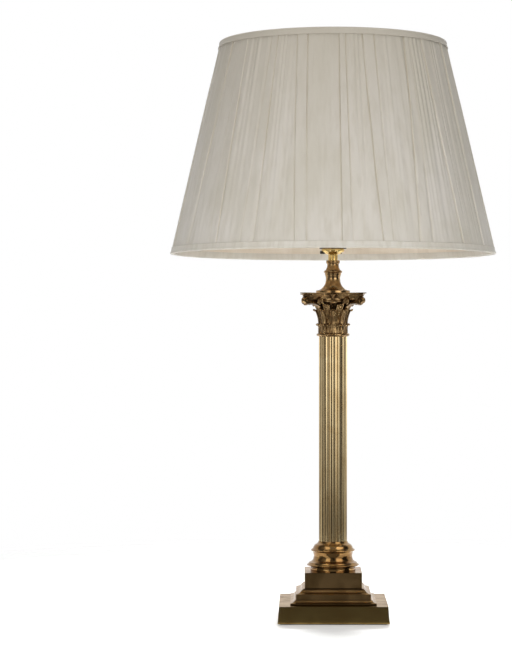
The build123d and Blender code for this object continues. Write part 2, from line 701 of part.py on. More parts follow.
def capital():
    """Corinthian capital, one casting: astragal, bell, two rows of leaves, volutes, flowers and abacus."""
    z0 = SHAFT_TOP_Z
    foot = z0 + ASTRAGAL_H
    abacus_z = z0 + CAPITAL_H - ABACUS_H
    lip_r = SHAFT_R + BELL_LIP_OUT
    bead_r = SHAFT_R + ASTRAGAL_OUT
    bevel = ASTRAGAL_H / 3.5
    throat_z = z0 + BELL_THROAT_Z
    throat_h = abacus_z - 3 - throat_z
    bell = turned(
        (SPIGOT_BORE_R, z0),
        (bead_r - bevel, z0),
        (bead_r, z0 + bevel),
        (bead_r, foot - bevel),
        (bead_r - bevel, foot),
        (BELL_R, foot),
        (BELL_R, throat_z),
        (BELL_R + (lip_r - BELL_R) * 0.3, throat_z + throat_h * 0.6),
        (lip_r, abacus_z - 3),
        (lip_r, abacus_z + 1),
        (SPIGOT_BORE_R, abacus_z + 1),
    )
    lower = leaf(ASTRAGAL_H - 0.5, LOWER_LEAF_TIP_Z, LOWER_LEAF_REACH, LOWER_LEAF_CURL, LOWER_LEAF_W, z0)
    upper = leaf(UPPER_LEAF_FOOT_Z, UPPER_LEAF_TIP_Z, UPPER_LEAF_REACH, UPPER_LEAF_CURL, UPPER_LEAF_W, z0)
    half_pitch = 180 / LEAVES
    leaves = around(lower, LEAVES, half_pitch) + around(upper, LEAVES)
    small_scrolls = [piece for side in (-1, 1) for piece in around(small_scroll(z0, side), 4)]
    body = bell + abacus(abacus_z) + around(volute(z0), 4, 45) + around(fleuron(z0), 4) + small_scrolls + leaves
    spigot = tube(SPIGOT_R, SPIGOT_BORE_R, z0 - SPIGOT_L, z0)
    hollow = rod(SPIGOT_BORE_R, z0 - SPIGOT_L, abacus_z)
    return body + spigot - hollow - rod(ROD_HOLE_R, abacus_z - 1, CAPITAL_TOP_Z)


# ---- stem ----
def vase_stem():
    """Turned stem: thin foot, hollow bell, neck, sharp ring, taper to a waist and a flare to the collar."""
    z0, z_foot, z_neck, z_ring, z_ring_top, z_waist, top = accumulate(
        (CAPITAL_TOP_Z, STEM_FOOT_H, STEM_BELL_H, STEM_SWELL_H, STEM_RING_H, STEM_TAPER_H, STEM_FLARE_H)
    )
    swell_r = STEM_NECK_R + STEM_SWELL
    ring_r = swell_r + STEM_RING_OUT
    waist_r = ROD_HOLE_R + STEM_WAIST_WALL
    edge = 0.35
    return turned(
        (ROD_HOLE_R, z0),
        (STEM_FOOT_R, z0),
        (STEM_FOOT_R, z_foot - edge),
        (STEM_BELL_R, z_foot),
        (STEM_NECK_R, z_neck, -STEM_BELL_HOLLOW),
        (swell_r, z_ring),
        (ring_r, z_ring + STEM_RING_H / 2 - edge),
        (ring_r, z_ring + STEM_RING_H / 2 + edge),
        (swell_r - 0.3, z_ring_top),
        (waist_r, z_waist),
        (waist_r + STEM_FLARE, top),
        (ROD_HOLE_R, top),
    )


def locking_collar():
    """Screwed collar that clamps the stack under the lampholder."""
    body = tube(COLLAR_R, THREAD_R, STEM_TOP_Z, COLLAR_TOP_Z)
    rims = body.edges().filter_by(GeomType.CIRCLE).group_by(SortBy.RADIUS)[-1]
    return chamfer(rims, COLLAR_H / 6)


def tie_rod():
    """Hollow threaded rod from under the plinth's nut to the lampholder's neck."""
    foot = CAVITY_TOP_Z - WASHER_T - NUT_H - ROD_TAIL
    return tube(ROD_R, ROD_BORE_R, foot, NECK_TOP_Z - 1)


def bottom_washer():
    """Washer under the plinth's top wall."""
    return tube(WASHER_R, ROD_HOLE_R, CAVITY_TOP_Z - WASHER_T, CAVITY_TOP_Z)


def bottom_nut():
    """Hexagon nut that pulls the whole stack together."""
    top = CAVITY_TOP_Z - WASHER_T
    nut = extrude(RegularPolygon(NUT_FLATS / 2, 6, major_radius=False), NUT_H)
    return Pos(0, 0, top - NUT_H) * nut - rod(THREAD_R, top - NUT_H, top)


# ---- lampholder ----
def holder_cap():
    """Spun brass cap: threaded neck, shallow dome and rim, with a hole each side for the switch bar."""
    rim_bore = SKIRT_R + THREAD_GAP
    shoulder_r = NECK_R + (CAP_RIM_R - NECK_R) * DOME_FULLNESS
    shell = turned(
        (THREAD_R, COLLAR_TOP_Z),
        (NECK_R, COLLAR_TOP_Z),
        (NECK_R, NECK_TOP_Z),
        (shoulder_r, NECK_TOP_Z + DOME_H / 2),
        (CAP_RIM_R, RIM_Z),
        (CAP_RIM_R, HOLDER_Z),
        (rim_bore, HOLDER_Z),
        (rim_bore, RIM_Z + SHEET_T / 3),
        (shoulder_r - SHEET_T, NECK_TOP_Z + DOME_H / 2 + SHEET_T / 3),
        (NECK_R, NECK_TOP_Z + SHEET_T),
        (THREAD_R, NECK_TOP_Z + SHEET_T),
    )
    return shell - along_x(BAR_TIP_R + RUNNING_GAP, -2 * CAP_RIM_R, 2 * CAP_RIM_R, z=BAR_Z)


def bayonet_slot():
    """One L-shaped slot: in from the rim, then round to where the pin rests."""
    half = PIN_R + SLOT_GAP
    pin_z = CONTACT_Z + PIN_Z
    inner = SKIRT_BORE_R - 1
    outer = SKIRT_R + 1
    rest = along_x(half, inner, outer, z=pin_z)
    sector = section(
        (inner, pin_z - half), (outer, pin_z - half), (outer, pin_z + half), (inner, pin_z + half)
    )
    turn = revolve(Plane.XZ * sector, Axis.Z, BAYONET_TURN)
    entry_h = SKIRT_TOP_Z + 1 - pin_z
    entry = Pos(inner, 0, pin_z) * Box(
        outer - inner, 2 * half, entry_h, align=(Align.MIN, Align.CENTER, Align.MIN)
    )
    corner = Rot(0, 0, BAYONET_TURN) * (rest + entry)
    return rest + turn + corner


def holder_skirt():
    """Threaded brass skirt with a lip under the insulator, a rolled mouth and two bayonet slots."""
    roll = SKIRT_T / 3
    shell = turned(
        (SKIRT_BORE_R - SKIRT_LIP, SKIRT_FOOT_Z),
        (SKIRT_R, SKIRT_FOOT_Z),
        (SKIRT_R, SKIRT_TOP_Z - roll),
        (SKIRT_R - roll, SKIRT_TOP_Z),
        (SKIRT_BORE_R, SKIRT_TOP_Z),
        (SKIRT_BORE_R, INSULATOR_Z),
        (SKIRT_BORE_R - SKIRT_LIP, INSULATOR_Z),
    )
    return shell - around(bayonet_slot(), 2)


def holder_insulator():
    """Ceramic block on the skirt's lip, holed for the plungers and the terminal screws."""
    radius = SKIRT_BORE_R - PANEL_GAP
    body = rod(radius, INSULATOR_Z, INSULATOR_TOP_Z)
    plunger_holes = [
        rod(PLUNGER_R + THREAD_GAP, INSULATOR_TOP_Z - INSULATOR_H / 2, INSULATOR_TOP_Z, y=side * CONTACT_SPREAD)
        for side in (-1, 1)
    ]
    screw_holes = [
        rod(TERMINAL_SHANK_R + THREAD_GAP, INSULATOR_Z, INSULATOR_Z + TERMINAL_SHANK_L, y=side * TERMINAL_SPREAD)
        for side in (-1, 1)
    ]
    return body - plunger_holes - screw_holes


def contact_plungers():
    """Two sprung contacts that stand out of the insulator."""
    foot = INSULATOR_TOP_Z - INSULATOR_H / 2
    return Compound(children=[rod(PLUNGER_R, foot, CONTACT_Z, y=side * CONTACT_SPREAD) for side in (-1, 1)])


def terminal_screws():
    """Two cheese-headed screws under the insulator, beside the switch bar."""
    return Compound(children=[
        rod(TERMINAL_SHANK_R, INSULATOR_Z - 0.5, INSULATOR_Z + TERMINAL_SHANK_L, y=side * TERMINAL_SPREAD)
        + rod(TERMINAL_HEAD_R, INSULATOR_Z - TERMINAL_HEAD_H, INSULATOR_Z, y=side * TERMINAL_SPREAD)
        for side in (-1, 1)
    ])


def shade_ring():
    """Knurled ring that screws down the skirt and clamps the carrier."""
    foot = CARRIER_TOP_Z
    outer = SKIRT_R + THREAD_GAP + SHADE_RING_T
    knurls = around(Pos(outer, 0) * RegularPolygon(KNURL_R, 4), KNURLS)
    ring = extrude(Circle(outer) - knurls - Circle(SKIRT_R + THREAD_GAP), SHADE_RING_H)
    return Pos(0, 0, foot) * ring


# ---- switch bar ----
def switch_bar():
    """Rod that carries the two push tips through the cap."""
    half = BAR_L / 2 - BAR_TIP_L
    return along_x(BAR_R, BAR_X - half, BAR_X + half, z=BAR_Z)


def switch_tip(side):
    """Push tip with a bevelled end, on one side."""
    inner = BAR_L / 2 - BAR_TIP_L
    tip = along_x(BAR_TIP_R, inner, BAR_L / 2)
    end = tip.faces().sort_by(Axis.X)[-1].edges()
    tip = chamfer(end, BAR_TIP_R / 3)
    return Pos(BAR_X, 0, BAR_Z) * (tip if side > 0 else Rot(0, 0, 180) * tip)


# ---- bulb ----
def bulb_cap():
    """Bayonet cap: open-ended shell with a pin each side."""
    shell = tube(BULB_CAP_R, BULB_CAP_R - BULB_CAP_T, BULB_CAP_Z, BULB_CAP_TOP_Z)
    pin = along_x(PIN_R, BULB_CAP_R - BULB_CAP_T / 2, PIN_REACH, z=CONTACT_Z + PIN_Z)
    return shell + around(pin, 2)


def bulb_base_disc():
    """Black insulating disc in the cap's foot."""
    return rod(BULB_CAP_R - BULB_CAP_T - THREAD_GAP, BULB_CAP_Z, BULB_CAP_Z + BASE_DISC_T)


def bulb_contacts():
    """Two contact pads on the disc."""
    return Compound(children=[rod(PAD_R, CONTACT_Z, BULB_CAP_Z, y=side * CONTACT_SPREAD) for side in (-1, 1)])


def bulb_housing():
    """White flared body between the cap and the globe."""
    seat_r = BULB_CAP_R - BULB_CAP_T - THREAD_GAP
    shoulder = BULB_CAP_R + HOUSING_SHOULDER
    mouth = sqrt(GLOBE_R**2 - GLOBE_RISE**2)
    return turned(
        (0, BULB_CAP_TOP_Z - HOUSING_SEAT_L),
        (seat_r, BULB_CAP_TOP_Z - HOUSING_SEAT_L),
        (seat_r, BULB_CAP_TOP_Z),
        (shoulder, BULB_CAP_TOP_Z),
        (shoulder, BULB_CAP_TOP_Z + 3),
        (mouth, HOUSING_TOP_Z, -2.5),
        (0, HOUSING_TOP_Z),
    )


def bulb_globe():
    """Opal globe of the bulb, cut flat where it meets the housing."""
    centre = HOUSING_TOP_Z + GLOBE_RISE
    low = -asin(GLOBE_RISE / GLOBE_R)
    turns = [low + (pi / 2 - low) * i / GLOBE_RUNS for i in range(GLOBE_RUNS)]
    round_side = [(GLOBE_R * cos(turn), centre + GLOBE_R * sin(turn)) for turn in turns]
    return turned((0, HOUSING_TOP_Z), *round_side, (0, centre + GLOBE_R))


# ---- shade carrier ----
def carrier_base_ring():
    """Pressed ring round the skirt with a tab to the front and the back for the arms."""
    outer = CARRIER_BORE_R + CARRIER_RING_W
    plate = rod(outer, HOLDER_Z, CARRIER_TOP_Z) + Pos(0, 0, HOLDER_Z) * Box(
        TAB_W, 2 * TAB_REACH, CARRIER_T, align=(Align.CENTER, Align.CENTER, Align.MIN)
    )
    return plate - rod(CARRIER_BORE_R, HOLDER_Z, CARRIER_TOP_Z)


def carrier_arm(side):
    """Wire arm: up from the tab, out past the bulb and straight up to the seat."""
    path = FilletPolyline(
        (0, side * ARM_FOOT_Y, CARRIER_TOP_Z),
        (0, side * ARM_FOOT_Y, CARRIER_TOP_Z + ARM_RISE),
        (0, side * ARM_TOP_Y, CARRIER_TOP_Z + ARM_KNEE_Z),
        (0, side * ARM_TOP_Y, SEAT_Z - SEAT_T),
        radius=ARM_BEND_R,
    )
    return sweep(Plane(origin=path @ 0, z_dir=path % 0) * RegularPolygon(ARM_R, WIRE_SIDES), path=path)


def carrier_seat_ring():
    """Pressed seat for the shade's inner ring: a flat flange with an upstand inside."""
    inner = SEAT_R - SEAT_W
    upstand_in = UPSTAND_R - UPSTAND_T
    return turned(
        (inner, SEAT_Z - SEAT_T),
        (SEAT_R, SEAT_Z - SEAT_T),
        (SEAT_R, SEAT_Z),
        (UPSTAND_R, SEAT_Z),
        (UPSTAND_R, SEAT_Z + UPSTAND_H),
        (upstand_in, SEAT_Z + UPSTAND_H),
        (upstand_in, SEAT_Z),
        (inner, SEAT_Z),
    )


# ---- shade ----
def frame_ring(z):
    """Wire ring of the shade's frame at a height."""
    wire = Pos(shade_r(z, WIRE_IN), z) * RegularPolygon(WIRE_R, WIRE_SIDES)
    return revolve(Plane.XZ * wire, Axis.Z)


TOP_RING_Z = SHADE_TOP_Z - RING_END
BOTTOM_RING_Z = SHADE_BOTTOM_Z + RING_END


def frame_ribs():
    """Straight wires from ring to ring, each end shaped to the ring it is welded to."""
    span = TOP_RING_Z - BOTTOM_RING_Z
    lean = (shade_r(BOTTOM_RING_Z) - shade_r(TOP_RING_Z)) / span
    stop = WELD / sqrt(1 + lean**2)
    low = BOTTOM_RING_Z + stop
    high = TOP_RING_Z - stop
    rib = wire_between((shade_r(low, WIRE_IN), 0, low), (shade_r(high, WIRE_IN), 0, high), WIRE_R)
    rib = rib - frame_ring(BOTTOM_RING_Z) - frame_ring(TOP_RING_Z)
    return Compound(children=around(rib, RIBS, 180 / RIBS))


def duplex_ring():
    """Flat ring that drops over the carrier's seat."""
    return tube(DUPLEX_R + DUPLEX_W, DUPLEX_R, SEAT_Z, SEAT_Z + DUPLEX_T)


def strut_wire(radius):
    """A straight wire from the middle of the duplex ring's section to just short of the top ring's."""
    start_r = DUPLEX_R + DUPLEX_W / 2
    start_z = SEAT_Z + DUPLEX_T / 2
    run_r = shade_r(TOP_RING_Z, WIRE_IN) - start_r
    run_z = TOP_RING_Z - start_z
    share = 1 - WELD / sqrt(run_r**2 + run_z**2)
    return wire_between((start_r, 0, start_z), (start_r + run_r * share, 0, start_z + run_z * share), radius)


def duplex_struts():
    """Three wires from the duplex ring up to the top ring."""
    strut = strut_wire(WIRE_R) - duplex_ring() - frame_ring(TOP_RING_Z)
    return Compound(children=around(strut, STRUTS, 90))


def strut_slits():
    """Room for the struts where they pass through the cloth."""
    return around(strut_wire(WIRE_R + CLOTH_GAP), STRUTS, 90)


def pleat_turn(index, share):
    """Angle, in degrees, of a place in a pleat; each pleat is laid a little unevenly by hand."""
    start, end = [
        place + PLEAT_WANDER * (sin(2.4 * (place % PLEATS)) + sin(5.1 * (place % PLEATS) + 1) / 2)
        for place in (index, index + 1)
    ]
    return 360 / PLEATS * (start + (end - start) * share)


def pleat_height(share):
    """Height of the cloth in a repeat, from 0 to 1: it rises on to the fold's strip and falls along the panel."""
    if share == 0:
        return 0.0
    return 1.0 if share <= PLEAT_STRIP else (1 - share) / (1 - PLEAT_STRIP)


def cloth_ring(z, inset, lift):
    """Outline of the cover at a height, its low line at an inset and its folds lifted off it."""
    shares = [0.0, PLEAT_EDGE, *(step / PLEAT_STEPS for step in range(1, PLEAT_STEPS))]
    points = []
    for index in range(PLEATS):
        for share in shares:
            turn = radians(pleat_turn(index, share) - 90)
            radius = shade_r(z, inset) + lift * pleat_height(share)
            points.append((radius * cos(turn), radius * sin(turn), z))
    return make_face(Polyline(*points, close=True))


def shade_cover():
    """Pleated silk cover as one closed shell between the bindings."""
    low = SHADE_BOTTOM_Z + BINDING_T + CLOTH_GAP
    high = SHADE_TOP_Z - BINDING_T - CLOTH_GAP
    pleated, inside = [
        loft([cloth_ring(low, inset, lift), cloth_ring(high, inset, lift)], ruled=True)
        for inset, lift in ((CREST_IN + PLEAT_LIFT, PLEAT_LIFT), (COVER_INNER_IN, 0.0))
    ]
    return pleated - inside


def shade_lining():
    """Plain lining inside the frame, slit where the struts pass."""
    low = SHADE_BOTTOM_Z + BINDING_T + CLOTH_GAP
    high = SHADE_TOP_Z - BINDING_T - CLOTH_GAP
    cone = turned(
        (shade_r(low, LINING_IN + LINING_T), low),
        (shade_r(low, LINING_IN), low),
        (shade_r(high, LINING_IN), high),
        (shade_r(high, LINING_IN + LINING_T), high),
    )
    return cone - strut_slits()


def binding(edge_z, upwards):
    """Silk binding folded over an edge of the shade: a channel that takes cover, ring and lining."""
    mouth = edge_z + upwards * BINDING_H
    web = edge_z + upwards * BINDING_T
    return turned(
        (shade_r(edge_z), edge_z),
        (shade_r(mouth), mouth),
        (shade_r(mouth, BINDING_T), mouth),
        (shade_r(web, BINDING_T), web),
        (shade_r(web, BINDING_INNER_IN - BINDING_T), web),
        (shade_r(mouth, BINDING_INNER_IN - BINDING_T), mouth),
        (shade_r(mouth, BINDING_INNER_IN), mouth),
        (shade_r(edge_z, BINDING_INNER_IN), edge_z),
    )


NODES = {
    "felt_pad": felt_pad,
    "base_plate": base_plate,
    "base_screws": base_screws,
    "ballast_weight": ballast_weight,
    "plinth": plinth,
    "cord_bush": cord_bush,
    "stepped_moulding": stepped_moulding,
    "pedestal_block": pedestal_block,
    "column_base": column_base,
    "column_shaft": column_shaft,
    "capital": capital,
    "vase_stem": vase_stem,
    "locking_collar": locking_collar,
    "tie_rod": tie_rod,
    "bottom_washer": bottom_washer,
    "bottom_nut": bottom_nut,
    "holder_cap": holder_cap,
    "holder_skirt": holder_skirt,
    "holder_insulator": holder_insulator,
    "contact_plungers": contact_plungers,
    "terminal_screws": terminal_screws,
    "shade_ring": shade_ring,
    "switch_bar": switch_bar,
    "switch_tip_left": lambda: switch_tip(-1),
    "switch_tip_right": lambda: switch_tip(1),
    "bulb_cap": bulb_cap,
    "bulb_base_disc": bulb_base_disc,
    "bulb_contacts": bulb_contacts,
    "bulb_housing": bulb_housing,
    "bulb_globe": bulb_globe,
    "carrier_base_ring": carrier_base_ring,
    "carrier_arm_front": lambda: carrier_arm(-1),
    "carrier_arm_back": lambda: carrier_arm(1),
    "carrier_seat_ring": carrier_seat_ring,
    "duplex_ring": duplex_ring,
    "duplex_struts": duplex_struts,
    "frame_top_ring": lambda: frame_ring(TOP_RING_Z),
    "frame_bottom_ring": lambda: frame_ring(BOTTOM_RING_Z),
    "frame_ribs": frame_ribs,
    "shade_lining": shade_lining,
    "shade_cover": shade_cover,
    "top_binding": lambda: binding(SHADE_TOP_Z, -1) - strut_slits(),
    "bottom_binding": lambda: binding(SHADE_BOTTOM_Z, 1),
}

os.makedirs("parts", exist_ok=True)
for node, make in NODES.items():
    export_step(make(), f"parts/{node}.step")
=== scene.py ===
"""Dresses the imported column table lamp: aged brass, a hand-pleated silk shade and a plain pale studio.

Lengths in the classes are millimetres in the part's own frame (+Z up, front at -Y). A Form turns them
to metres when it becomes an object.
"""

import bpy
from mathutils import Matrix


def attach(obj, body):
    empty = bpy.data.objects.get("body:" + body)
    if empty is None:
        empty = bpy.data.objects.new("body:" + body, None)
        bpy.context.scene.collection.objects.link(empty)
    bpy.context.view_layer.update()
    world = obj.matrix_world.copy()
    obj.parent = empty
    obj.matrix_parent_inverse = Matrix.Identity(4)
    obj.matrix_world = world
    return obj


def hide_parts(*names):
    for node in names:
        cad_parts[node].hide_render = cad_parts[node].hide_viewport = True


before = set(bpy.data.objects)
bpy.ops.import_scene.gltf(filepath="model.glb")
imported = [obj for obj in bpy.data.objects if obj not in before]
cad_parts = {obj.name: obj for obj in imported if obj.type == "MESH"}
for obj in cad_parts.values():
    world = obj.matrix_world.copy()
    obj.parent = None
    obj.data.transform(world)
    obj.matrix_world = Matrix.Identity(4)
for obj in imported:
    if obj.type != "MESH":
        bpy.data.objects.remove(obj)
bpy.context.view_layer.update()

import logging
from collections.abc import Callable, Sequence
from dataclasses import dataclass, field
from enum import Enum
from math import asin, cos, hypot, pi, radians, sin, sqrt, tau

import bmesh
import bpy
from mathutils import Matrix, Vector, noise

LOG = logging.getLogger("lamp")
MM = 0.001
STRAIGHT = 0.9  # cosine of the turn under which two runs of an outline count as one
Point = tuple[float, float]
Socket = bpy.types.NodeSocket


# ---------------------------------------------------------------- drawing


def evenly(low: float, high: float, steps: int) -> list[float]:
    """Values from low to high at equal steps, both ends among them."""
    return [low + (high - low) * i / steps for i in range(steps + 1)]


def full_turn(sides: int) -> list[float]:
    """The angles of a full turn at equal steps, in radians."""
    return [tau * i / sides for i in range(sides)]


def eased_step(value: float) -> float:
    """A smooth rise from 0 to 1 as the value goes from 0 to 1."""
    held = max(0.0, min(1.0, value))
    return held * held * (3 - 2 * held)


def at(radius: float, turn: float, z: float) -> Vector:
    """A point by its radius, its angle in radians from the front, and its height."""
    return Vector((radius * sin(turn), -radius * cos(turn), z))


def waves(turn: float, fineness: float, up: float) -> float:
    """Smooth noise from -1 to 1 round the lamp's axis."""
    return noise.noise(Vector((cos(turn) * fineness, sin(turn) * fineness, up)))


def bowed(start: Point, end: Point, bow: float, steps: int = 7) -> list[Point]:
    """Points of an arc after its start.

    Args:
        start: Where the arc begins.
        end: Where it ends.
        bow: How far its middle stands out to the right of the run.
        steps: How many points.

    Returns:
        The points, the end among them.
    """
    across, up = end[0] - start[0], end[1] - start[1]
    half = hypot(across, up) / 2
    along = (across / (2 * half), up / (2 * half))
    right = (along[1], -along[0])
    side = 1 if bow > 0 else -1
    radius = (half * half + bow * bow) / (2 * abs(bow))
    swing = asin(min(1.0, half / radius))
    middle = ((start[0] + end[0]) / 2, (start[1] + end[1]) / 2)
    depth = side * (radius - abs(bow))
    points = []
    for step in range(1, steps + 1):
        turn = swing * (2 * step / steps - 1)
        out, run = side * radius * cos(turn) - depth, radius * sin(turn)
        points.append((middle[0] + right[0] * out + along[0] * run, middle[1] + right[1] * out + along[1] * run))
    return points


def profile(*moves: tuple[float, ...], z: float = 0.0, soft: float = 0.0, loop: bool = True) -> list[Point]:
    """A drawn outline with its hard corners eased, as a polished casting's are.

    Args:
        moves: (across, up) or (across, up, bow) points; a bow bends the run that leads to its point.
        z: The height from which up counts.
        soft: How far from a corner its easing starts.
        loop: Whether the outline closes on itself.

    Returns:
        The outline's points.
    """
    drawn: list[Point] = [(moves[0][0], z + moves[0][1])]
    for across, up, *bow in moves[1:]:
        drawn += bowed(drawn[-1], (across, z + up), bow[0]) if bow else [(across, z + up)]
    if not soft:
        return drawn
    eased: list[Point] = []
    count = len(drawn)
    for index, (x, y) in enumerate(drawn):
        before, after = drawn[index - 1], drawn[(index + 1) % count]
        back, forth = (before[0] - x, before[1] - y), (after[0] - x, after[1] - y)
        legs = hypot(*back), hypot(*forth)
        end = not loop and index in (0, count - 1)
        if end or -(back[0] * forth[0] + back[1] * forth[1]) / (legs[0] * legs[1]) > STRAIGHT:
            eased.append((x, y))
            continue
        reach = min(soft, legs[0] * 0.4, legs[1] * 0.4)
        one = (x + back[0] / legs[0] * reach, y + back[1] / legs[0] * reach)
        two = (x + forth[0] / legs[1] * reach, y + forth[1] / legs[1] * reach)
        eased += [one, ((one[0] + 2 * x + two[0]) / 4, (one[1] + 2 * y + two[1]) / 4), two]
    return eased


def linked(name: str, data: bpy.types.ID) -> bpy.types.Object:
    """A new object in the scene for a mesh, a lamp or a camera."""
    made = bpy.data.objects.new(name, data)
    bpy.context.scene.collection.objects.link(made)
    return made


def placed(name: str, points: Sequence[Sequence[float]], faces: Sequence[tuple[int, ...]]) -> bpy.types.Object:
    """A mesh object in the scene, from points in metres."""
    mesh = bpy.data.meshes.new(name)
    mesh.from_pydata(points, [], faces)
    return linked(name, mesh)


@dataclass
class Form:
    """Points in millimetres and faces of a piece while it is being made."""

    points: list[Vector] = field(default_factory=list)
    faces: list[tuple[int, ...]] = field(default_factory=list)

    def skin(self, rings: Sequence[Sequence[Vector]], closed: bool = False, caps: bool = True) -> "Form":
        """Adds a surface through rings of equally many points.

        Args:
            rings: The rings in order.
            closed: Whether the last ring joins the first.
            caps: Whether open ends get a face.

        Returns:
            This form.
        """
        start = len(self.points)
        count = len(rings[0])
        for ring in rings:
            self.points.extend(ring)
        for row in range(len(rings) if closed else len(rings) - 1):
            low = start + row * count
            high = start + (row + 1) % len(rings) * count
            for i in range(count):
                j = (i + 1) % count
                self.faces.append((low + i, low + j, high + j, high + i))
        if caps and not closed:
            last = start + (len(rings) - 1) * count
            self.faces.append(tuple(range(start, start + count))[::-1])
            self.faces.append(tuple(range(last, last + count)))
        return self

    def add(self, other: "Form", place: Matrix | None = None) -> "Form":
        """Adds another form where it is, or moved by a matrix, and gives this one back."""
        start = len(self.points)
        self.points += [place @ p for p in other.points] if place else other.points
        self.faces += [tuple(start + i for i in face) for face in other.faces]
        return self

    def around(self, count: int, start: float = 0.0) -> "Form":
        """A form with copies of this one at equal turns about the axis, the first at start in degrees."""
        ring = Form()
        for i in range(count):
            ring.add(self, Matrix.Rotation(radians(start + 360 / count * i), 4, "Z"))
        return ring

    def build(
        self, name: str, finish: "Finish", body: str, slot: str, replaces: Sequence[str] = (), sharp: float = 34.0
    ) -> bpy.types.Object:
        """Makes the object, dresses it and fixes it to its CAD body.

        Args:
            name: The piece's name.
            finish: What it is made of.
            body: The CAD body that it rides on.
            slot: Not used.
            replaces: CAD nodes that it stands for.
            sharp: Angle in degrees from which an edge shows as a hard one.

        Returns:
            The finished object.
        """
        piece = placed(name, [p * MM for p in self.points], self.faces)
        mesh = piece.data
        work = bmesh.new()
        work.from_mesh(mesh)
        bmesh.ops.remove_doubles(work, verts=work.verts, dist=1e-6)
        bmesh.ops.recalc_face_normals(work, faces=work.faces)
        work.to_mesh(mesh)
        work.free()
        mesh.shade_smooth()
        mesh.set_sharp_from_angle(angle=radians(sharp))
        mesh.materials.append(finish.material())
        flat = piece.modifiers.new("flat_faces", "WEIGHTED_NORMAL")  # large faces mirror flat up to their eased edges
        flat.weight = 100
        flat.keep_sharp = True
        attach(piece, body)
        if replaces:
            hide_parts(*replaces)
        LOG.info("%s: %d faces on %s", name, len(mesh.polygons), body)
        return piece


def turned(outline: Sequence[Point], sides: int = 96, solid: bool = True) -> Form:
    """A lathe piece from its (radius, height) section; a solid one's section closes on itself."""
    turns = full_turn(sides)
    return Form().skin([[at(radius, t, z) for t in turns] for radius, z in outline], closed=solid, caps=False)


def stacked(shape: Sequence[Point], sides: int, place: Callable[[float, float, float], Vector]) -> Form:
    """A round boss in any direction.

    Args:
        shape: Its (radius, distance) steps.
        sides: Steps around.
        place: Where a point (across, up, distance) lies.

    Returns:
        The form.
    """
    return Form().skin([[place(size * cos(t), size * sin(t), out) for t in full_turn(sides)] for size, out in shape])


def square_ring(half: float, corner: float, z: float, steps: int = 4) -> list[Vector]:
    """A square with rounded corners at a height.

    Args:
        half: Half its width.
        corner: The radius of its corners.
        z: The height.
        steps: How many steps go round a corner.

    Returns:
        Its points.
    """
    radius = min(corner, half)
    ring = []
    for quarter in range(4):
        x = (half - radius) * (1 if quarter in (0, 3) else -1)
        y = (half - radius) * (1 if quarter in (0, 1) else -1)
        for step in range(steps + 1):
            turn = tau / 4 * quarter + tau / 4 * step / steps
            ring.append(Vector((x + radius * cos(turn), y + radius * sin(turn), z)))
    return ring


def squared(outline: Sequence[Point], corner: float) -> Form:
    """A mitred square moulding from its (half width, height) section, with its upright edges eased."""
    return Form().skin([square_ring(half, corner, z) for half, z in outline], closed=True)


def tube(path: Sequence[Vector], radii: float | Sequence[float], sides: int = 12) -> Form:
    """A round wire along a path, or a tapered stalk.

    Args:
        path: The centre line.
        radii: One radius, or one for each point.
        sides: Steps around.

    Returns:
        The form.
    """
    sizes = [radii] * len(path) if isinstance(radii, (int, float)) else list(radii)
    rings = []
    normal = None
    for i, centre in enumerate(path):
        along = (path[min(i + 1, len(path) - 1)] - path[max(i - 1, 0)]).normalized()
        if normal is None:
            normal = along.orthogonal().normalized()
        normal = (normal - along * normal.dot(along)).normalized()
        other = along.cross(normal)
        rings.append([centre + (normal * cos(t) + other * sin(t)) * sizes[i] for t in full_turn(sides)])
    return Form().skin(rings)


def strap(path: Sequence[Point], widths: Sequence[float], thickness: float) -> Form:
    """A band on edge that follows a path in the upright plane through the front, its section slightly crowned.

    Args:
        path: (distance from the axis, height) points.
        widths: Its width across the plane at each point.
        thickness: Its thickness.

    Returns:
        The form.
    """
    section = ((-1, -0.6), (-0.6, -1), (0.6, -1), (1, -0.6), (1, 0.6), (0.6, 1), (-0.6, 1), (-1, 0.6))
    rings = []
    for i, (out, up) in enumerate(path):
        ahead, behind = path[min(i + 1, len(path) - 1)], path[max(i - 1, 0)]
        run = Vector((ahead[0] - behind[0], ahead[1] - behind[1])).normalized()
        across = Vector((run.y, -run.x))
        ring = []
        for wide, thick in section:
            shift = across * (thick * (thickness / 2))
            ring.append(Vector((wide * (widths[i] / 2), -(out + shift.x), up + shift.y)))
        rings.append(ring)
    return Form().skin(rings)


# ---------------------------------------------------------------- finishes


def linear(hex_colour: str) -> tuple[float, float, float, float]:
    """An sRGB hex colour as the linear colour that a shader takes."""
    parts = [int(hex_colour[i : i + 2], 16) / 255 for i in (0, 2, 4)]
    return (*[p / 12.92 if p <= 0.04045 else ((p + 0.055) / 1.055) ** 2.4 for p in parts], 1.0)


def feed(tree: bpy.types.NodeTree, node: bpy.types.Node, inputs: dict) -> None:
    """Sets a node's sockets to their values, or links them to the outputs that feed them."""
    for socket, value in inputs.items():
        if isinstance(value, Socket):
            tree.links.new(value, node.inputs[socket])
        else:
            node.inputs[socket].default_value = value


def add_node(tree: bpy.types.NodeTree, kind: str, inputs: dict | None = None, **settings: object) -> bpy.types.Node:
    """Adds a node with its settings and links.

    Args:
        tree: The tree that it goes into.
        kind: Blender's name for the node.
        inputs: Its sockets' values, or the outputs that feed them.
        settings: Its other settings.

    Returns:
        The node.
    """
    node = tree.nodes.new(kind)
    for setting, value in settings.items():
        setattr(node, setting, value)
    feed(tree, node, inputs or {})
    return node


